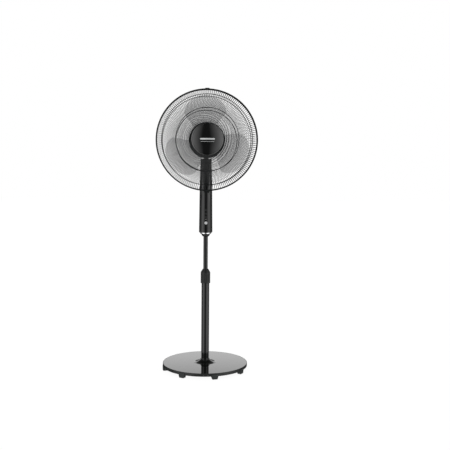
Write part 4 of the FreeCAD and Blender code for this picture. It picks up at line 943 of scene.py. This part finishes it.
# ---------------------------------------------------------------- rotor
def blade_point(u, v):
    """Place on a blade, in the motor's frame: u across it, v from the hub to the tip."""
    root, tip, shoulder, roundness = 0.0745, 0.196, 0.143, 1.7
    spread, root_spread, lead, middle = 76.0, 77.0, 5.5, 93.0       # degrees
    root_rise, tip_rise, camber, centre = 0.036, 0.032, 0.005, 0.098
    tip_a = middle + spread * (u - 0.5)
    root_a = middle + lead + root_spread * (u - 0.5)
    off = min(abs(2 * u - 1), 1.0)
    reach = shoulder + (tip - shoulder) * (1 - off ** roundness) ** (1 / roundness)
    a = radians(root_a + (tip_a - root_a) * v)
    r = root + (reach - root) * v
    rise = root_rise + (tip_rise - root_rise) * v
    ahead = centre + rise * (u - 0.5) + camber * 4 * u * (1 - u) * v
    return Vector((r * cos(a), -ahead, AXIS_Z + r * sin(a)))


def blades():
    """Three translucent blades, each a twisted, cambered sheet with a rounded edge."""
    across, outward = 26, 14
    bm = bmesh.new()
    grid = bmesh.ops.create_grid(bm, x_segments=across, y_segments=outward, size=0.5)["verts"]
    for vert in grid:
        u = (1 - cos(pi * (vert.co.x + 0.5))) / 2
        vert.co = blade_point(u, vert.co.y + 0.5)
    repeat(bm, 3, HEAD)
    made = piece("fan_blades", bm, "rotor", "smoke_blade", stands_for=("fan_blade",))
    thick = made.modifiers.new("thickness", "SOLIDIFY")
    thick.thickness = sizes().blade
    thick.offset = 0.0
    soft = made.modifiers.new("edge", "BEVEL")
    soft.width = sizes().blade * 0.4
    soft.segments = 3
    soft.limit_method = "ANGLE"
    soft.angle_limit = radians(50)
    return made


def blade_hub():
    """Hub cup of the blades, with ribs from its boss out to its wall, and the nut in front."""
    front, back, outer, wall, soft = 0.121, 0.076, 0.078, 0.0035, 0.012
    bore, boss, boss_deep = 0.00405, 0.010, 0.030
    points = [(bore, front), (outer, front), (outer, back), (outer - wall, back), (outer - wall, front - wall),
              (boss, front - wall), (boss, front - boss_deep), (bore, front - boss_deep)]
    radii = [0.0003, soft, 0.0010, 0.0010, soft - wall, 0.0015, 0.0005, 0.0003]
    bm = bmesh.new()
    lathe(bm, fillet(points, radii, 8), HEAD, 144)
    ribs = 6
    rib = Matrix.Translation((0.042, 0.013 - front, 0)) @ Matrix.Diagonal((0.066, 0.019, 0.002, 1.0))
    for k in range(ribs):
        turn = Matrix.Translation((0, 0, AXIS_Z)) @ Matrix.Rotation(k * WHOLE / ribs, 4, "Y")
        bmesh.ops.create_cube(bm, size=1.0, matrix=turn @ rib)
    piece("fan_hub", bm, "rotor", "smoke_blade", "smoke_hub", ("fan_blade",), even=True)
    eased("blade_nut", "spinner_nut", "satin_black")


# ---------------------------------------------------------------- head and hidden works
def head_shells():
    eased("motor_cover", "motor_rear_cover", "satin_black")
    eased("motor_front_plate", "motor_front_cover", "satin_black")
    eased("badge_back", "badge_keeper", "satin_black")
    eased("tilt_bracket", "tilt_neck_casting", "satin_black")


# CAD nodes that keep their own mesh, and the finish of each
KEPT = {
    "base_weight": "cast_weight", "pole_flange": "die_cast", "base_screws": "zinc_steel",
    "tube_bush": "white_pom", "tube_end_plug": "white_pom", "column_screws": "zinc_steel",
    "control_board": "board_green", "board_switches": "board_parts", "neck_pivot_block": "die_cast",
    "tilt_bolt": "zinc_steel", "tilt_washers": "white_pom", "swing_gear": "white_pom",
    "swivel_screw": "zinc_steel", "swing_pinion": "white_pom", "swing_motor": "zinc_steel",
    "swing_plate": "zinc_steel", "swivel_washer": "white_pom", "head_screws": "cage_band",
    "front_end_cap": "die_cast", "rear_end_cap": "die_cast", "shaft_bearings": "zinc_steel",
    "stator_core": "lamination", "stator_coils": "winding", "rotor_core": "lamination",
    "motor_shaft": "zinc_steel", "drive_pin": "zinc_steel", "cover_stud": "die_cast",
}


def hidden_works():
    for node, slot in KEPT.items():
        paint(node, slot)


# ---------------------------------------------------------------- studio
# how bright the room is, by degrees round from straight ahead of the fan
REFLECTED = ((-180, 0.1), (-130, 0.12), (-99, 0.35), (-76, 1.3), (-55, 2.1), (-35, 1.3), (-18, 0.5),
             (-4, 0.03), (4, 0.03), (18, 0.46), (35, 1.2), (57, 2.1), (76, 1.4), (99, 0.35), (130, 0.12),
             (180, 0.1))


def surround(scene):
    """White room, of which gloss reflects two tall soft boxes and a pale wall behind."""
    world = bpy.data.worlds.new("studio")
    world.use_nodes = True
    world.node_tree.nodes.clear()
    t = Tree(world.node_tree)
    way = t.add("ShaderNodeSeparateXYZ", {0: t.add("ShaderNodeTexCoord").outputs["Generated"]}).outputs
    turn = t.math("ARCTAN2", way["X"], t.math("MULTIPLY", way["Y"], -1.0))
    boxes = t.add("ShaderNodeValToRGB", {0: t.math("ADD", t.math("MULTIPLY", turn, 1 / WHOLE), 0.5)})
    ramp = boxes.color_ramp
    brightest = max(level for _, level in REFLECTED)
    while len(ramp.elements) < len(REFLECTED):
        ramp.elements.new(0.5)
    for held, (degrees, level) in zip(ramp.elements, REFLECTED):
        held.position = 0.5 + degrees / 360
        held.color = (level / brightest,) * 3 + (1.0,)
    ray = t.add("ShaderNodeLightPath").outputs
    sides = t.math("MULTIPLY", boxes.outputs[0], t.span(way["Z"], 0.45, 0.9, brightest, 0.25))
    sides = t.math("MULTIPLY", sides, t.span(ray["Glossy Depth"], 1.0, 2.0, 1.0, 0.3))
    behind = t.math("MULTIPLY", t.span(way["Z"], 0.12, 0.22), t.span(way["Y"], 0.45, 0.75))
    behind = t.math("MULTIPLY", behind, t.span(way["Z"], 0.36, 0.48, 1.0, 0.0))
    wall = t.math("MULTIPLY", behind, t.span(way["Z"], 0.245, 0.29, 0.98, 0.72))
    reflected = t.math("MAXIMUM", sides, wall)
    strength = t.add("ShaderNodeMix", {0: ray["Is Glossy Ray"], 2: 1.0, 3: reflected}, data_type="FLOAT")
    back = t.add("ShaderNodeBackground", {"Color": (1.0, 1.0, 1.0, 1.0), "Strength": strength.outputs[0]})
    out = t.add("ShaderNodeOutputWorld")
    t.tree.links.new(back.outputs[0], out.inputs["Surface"])
    scene.world = world


LIT_POINT = Vector((0.0, 0.0, 0.75))


def studio():
    """Pale floor that glows a little, as a light table does, the white room, two soft lights and the camera."""
    scene = bpy.context.scene
    scene.view_settings.view_transform = "Standard"
    place = scene.fan_studio
    bm = bmesh.new()
    bmesh.ops.create_grid(bm, x_segments=1, y_segments=1, size=30.0)        # 60 m across
    mesh = bpy.data.meshes.new("floor")
    bm.to_mesh(mesh)
    bm.free()
    floor = bpy.data.objects.new("floor", mesh)
    scene.collection.objects.link(floor)
    mesh.materials.append(studio_floor(colours().floor))
    floor.visible_glossy = False
    surround(scene)
    for name, at, size, power in (("soft_left", (-2.2, -1.6, 1.9), 1.6, 9.0),
                                  ("soft_right", (2.3, -1.4, 1.8), 1.4, 7.0)):
        light = bpy.data.lights.new(name, "AREA")
        light.shape = "RECTANGLE"
        light.size, light.size_y = size, 2.2
        light.energy = power
        lamp = bpy.data.objects.new(name, light)
        lamp.location = at
        lamp.rotation_euler = (LIT_POINT - Vector(at)).to_track_quat("-Z", "Y").to_euler()
        scene.collection.objects.link(lamp)
    lens = bpy.data.cameras.new("camera")
    lens.lens, lens.sensor_width = place.lens, 36.0
    lens.shift_y = place.shift
    camera = bpy.data.objects.new("camera", lens)
    aim = (Matrix.Rotation(place.yaw, 4, "Z") @ Matrix.Rotation(pi / 2 - place.tilt, 4, "X")
           @ Matrix.Rotation(place.roll, 4, "Z"))
    camera.matrix_world = Matrix.Translation((place.side, -place.back, place.height)) @ aim
    scene.collection.objects.link(camera)
    scene.camera = camera


# ---------------------------------------------------------------- operators, panel and registration
class FAN_OT_studio(bpy.types.Operator):
    """Add the floor, the lights and the camera"""
    bl_idname = "fan.studio"
    bl_label = "Studio"

    def execute(self, context):
        studio()
        return {"FINISHED"}


class FAN_OT_base_cover(bpy.types.Operator):
    """Spin the gloss base cover and its flare"""
    bl_idname = "fan.base_cover"
    bl_label = "Base cover"

    def execute(self, context):
        base_cover()
        return {"FINISHED"}


class FAN_OT_base_rim(bpy.types.Operator):
    """Spin the rim under the cover"""
    bl_idname = "fan.base_rim"
    bl_label = "Base rim"

    def execute(self, context):
        base_rim()
        return {"FINISHED"}


class FAN_OT_base_feet(bpy.types.Operator):
    """Round off the rim pads"""
    bl_idname = "fan.base_feet"
    bl_label = "Feet"

    def execute(self, context):
        base_feet()
        return {"FINISHED"}


class FAN_OT_pole_tubes(bpy.types.Operator):
    """Spin the outer and inner tubes"""
    bl_idname = "fan.pole_tubes"
    bl_label = "Pole"

    def execute(self, context):
        pole_tubes()
        return {"FINISHED"}


class FAN_OT_lock_collar(bpy.types.Operator):
    """Spin and flute the twist collar"""
    bl_idname = "fan.lock_collar"
    bl_label = "Collar"

    def execute(self, context):
        lock_collar()
        return {"FINISHED"}


class FAN_OT_socket_cup(bpy.types.Operator):
    """Finish the cup under the column"""
    bl_idname = "fan.socket_cup"
    bl_label = "Cup"

    def execute(self, context):
        socket_cup()
        return {"FINISHED"}


class FAN_OT_chrome_ring(bpy.types.Operator):
    """Spin the bright ring"""
    bl_idname = "fan.chrome_ring"
    bl_label = "Chrome ring"

    def execute(self, context):
        chrome_ring()
        return {"FINISHED"}


class FAN_OT_column_shells(bpy.types.Operator):
    """Finish the column's shells and facia"""
    bl_idname = "fan.column_shells"
    bl_label = "Column"

    def execute(self, context):
        column_shells()
        return {"FINISHED"}


class FAN_OT_buttons(bpy.types.Operator):
    """Spin the dished push buttons"""
    bl_idname = "fan.buttons"
    bl_label = "Buttons"

    def execute(self, context):
        buttons()
        return {"FINISHED"}


class FAN_OT_panel_trim(bpy.types.Operator):
    """Finish the display window and the eye"""
    bl_idname = "fan.panel_trim"
    bl_label = "Panel"

    def execute(self, context):
        panel_trim()
        return {"FINISHED"}


class FAN_OT_cage(bpy.types.Operator):
    """Build the wires and rings of both grilles"""
    bl_idname = "fan.cage"
    bl_label = "Cage"

    def execute(self, context):
        cage()
        return {"FINISHED"}


class FAN_OT_rim_band(bpy.types.Operator):
    """Spin the band and finish its clips"""
    bl_idname = "fan.rim_band"
    bl_label = "Rim band"

    def execute(self, context):
        rim_band()
        return {"FINISHED"}


class FAN_OT_badge(bpy.types.Operator):
    """Spin the badge and set its blank inlay"""
    bl_idname = "fan.badge"
    bl_label = "Badge"

    def execute(self, context):
        badge_disc()
        return {"FINISHED"}


class FAN_OT_blades(bpy.types.Operator):
    """Shape the three blades"""
    bl_idname = "fan.blades"
    bl_label = "Blades"

    def execute(self, context):
        blades()
        return {"FINISHED"}


class FAN_OT_blade_hub(bpy.types.Operator):
    """Spin the blades' hub and finish its nut"""
    bl_idname = "fan.blade_hub"
    bl_label = "Hub"

    def execute(self, context):
        blade_hub()
        return {"FINISHED"}


class FAN_OT_head_shells(bpy.types.Operator):
    """Finish the motor's covers and the neck"""
    bl_idname = "fan.head_shells"
    bl_label = "Head"

    def execute(self, context):
        head_shells()
        return {"FINISHED"}


class FAN_OT_hidden_works(bpy.types.Operator):
    """Give the hidden works their finishes"""
    bl_idname = "fan.hidden_works"
    bl_label = "Works"

    def execute(self, context):
        hidden_works()
        return {"FINISHED"}


STEPS = (FAN_OT_studio, FAN_OT_base_cover, FAN_OT_base_rim, FAN_OT_base_feet, FAN_OT_pole_tubes,
         FAN_OT_lock_collar, FAN_OT_socket_cup, FAN_OT_chrome_ring, FAN_OT_column_shells, FAN_OT_buttons,
         FAN_OT_panel_trim, FAN_OT_cage, FAN_OT_rim_band, FAN_OT_badge, FAN_OT_blades, FAN_OT_blade_hub,
         FAN_OT_head_shells, FAN_OT_hidden_works)


class FAN_PT_panel(bpy.types.Panel):
    """Lists the fan's sizes, colours and building steps."""
    bl_idname = "FAN_PT_panel"
    bl_label = "Pedestal fan"
    bl_space_type = "VIEW_3D"
    bl_region_type = "UI"
    bl_category = "Fan"

    def draw(self, context):
        column = self.layout.column()
        for group_ in (context.scene.fan_sizes, context.scene.fan_colours, context.scene.fan_studio):
            for key in group_.bl_rna.properties.keys():
                if key not in ("rna_type", "name"):
                    column.prop(group_, key)
        for step in STEPS:
            column.operator(step.bl_idname)


CLASSES = (FanSizes, FanColours, FanStudio, *STEPS, FAN_PT_panel)


def register():
    for cls in CLASSES:
        bpy.utils.register_class(cls)
    bpy.types.Scene.fan_sizes = PointerProperty(type=FanSizes)
    bpy.types.Scene.fan_colours = PointerProperty(type=FanColours)
    bpy.types.Scene.fan_studio = PointerProperty(type=FanStudio)


def unregister():
    for name in ("fan_sizes", "fan_colours", "fan_studio"):
        delattr(bpy.types.Scene, name)
    for cls in reversed(CLASSES):
        bpy.utils.unregister_class(cls)


def main():
    register()
    for step in STEPS:
        getattr(bpy.ops.fan, step.bl_idname.split(".")[1])()


if __name__ == "__main__":
    main()
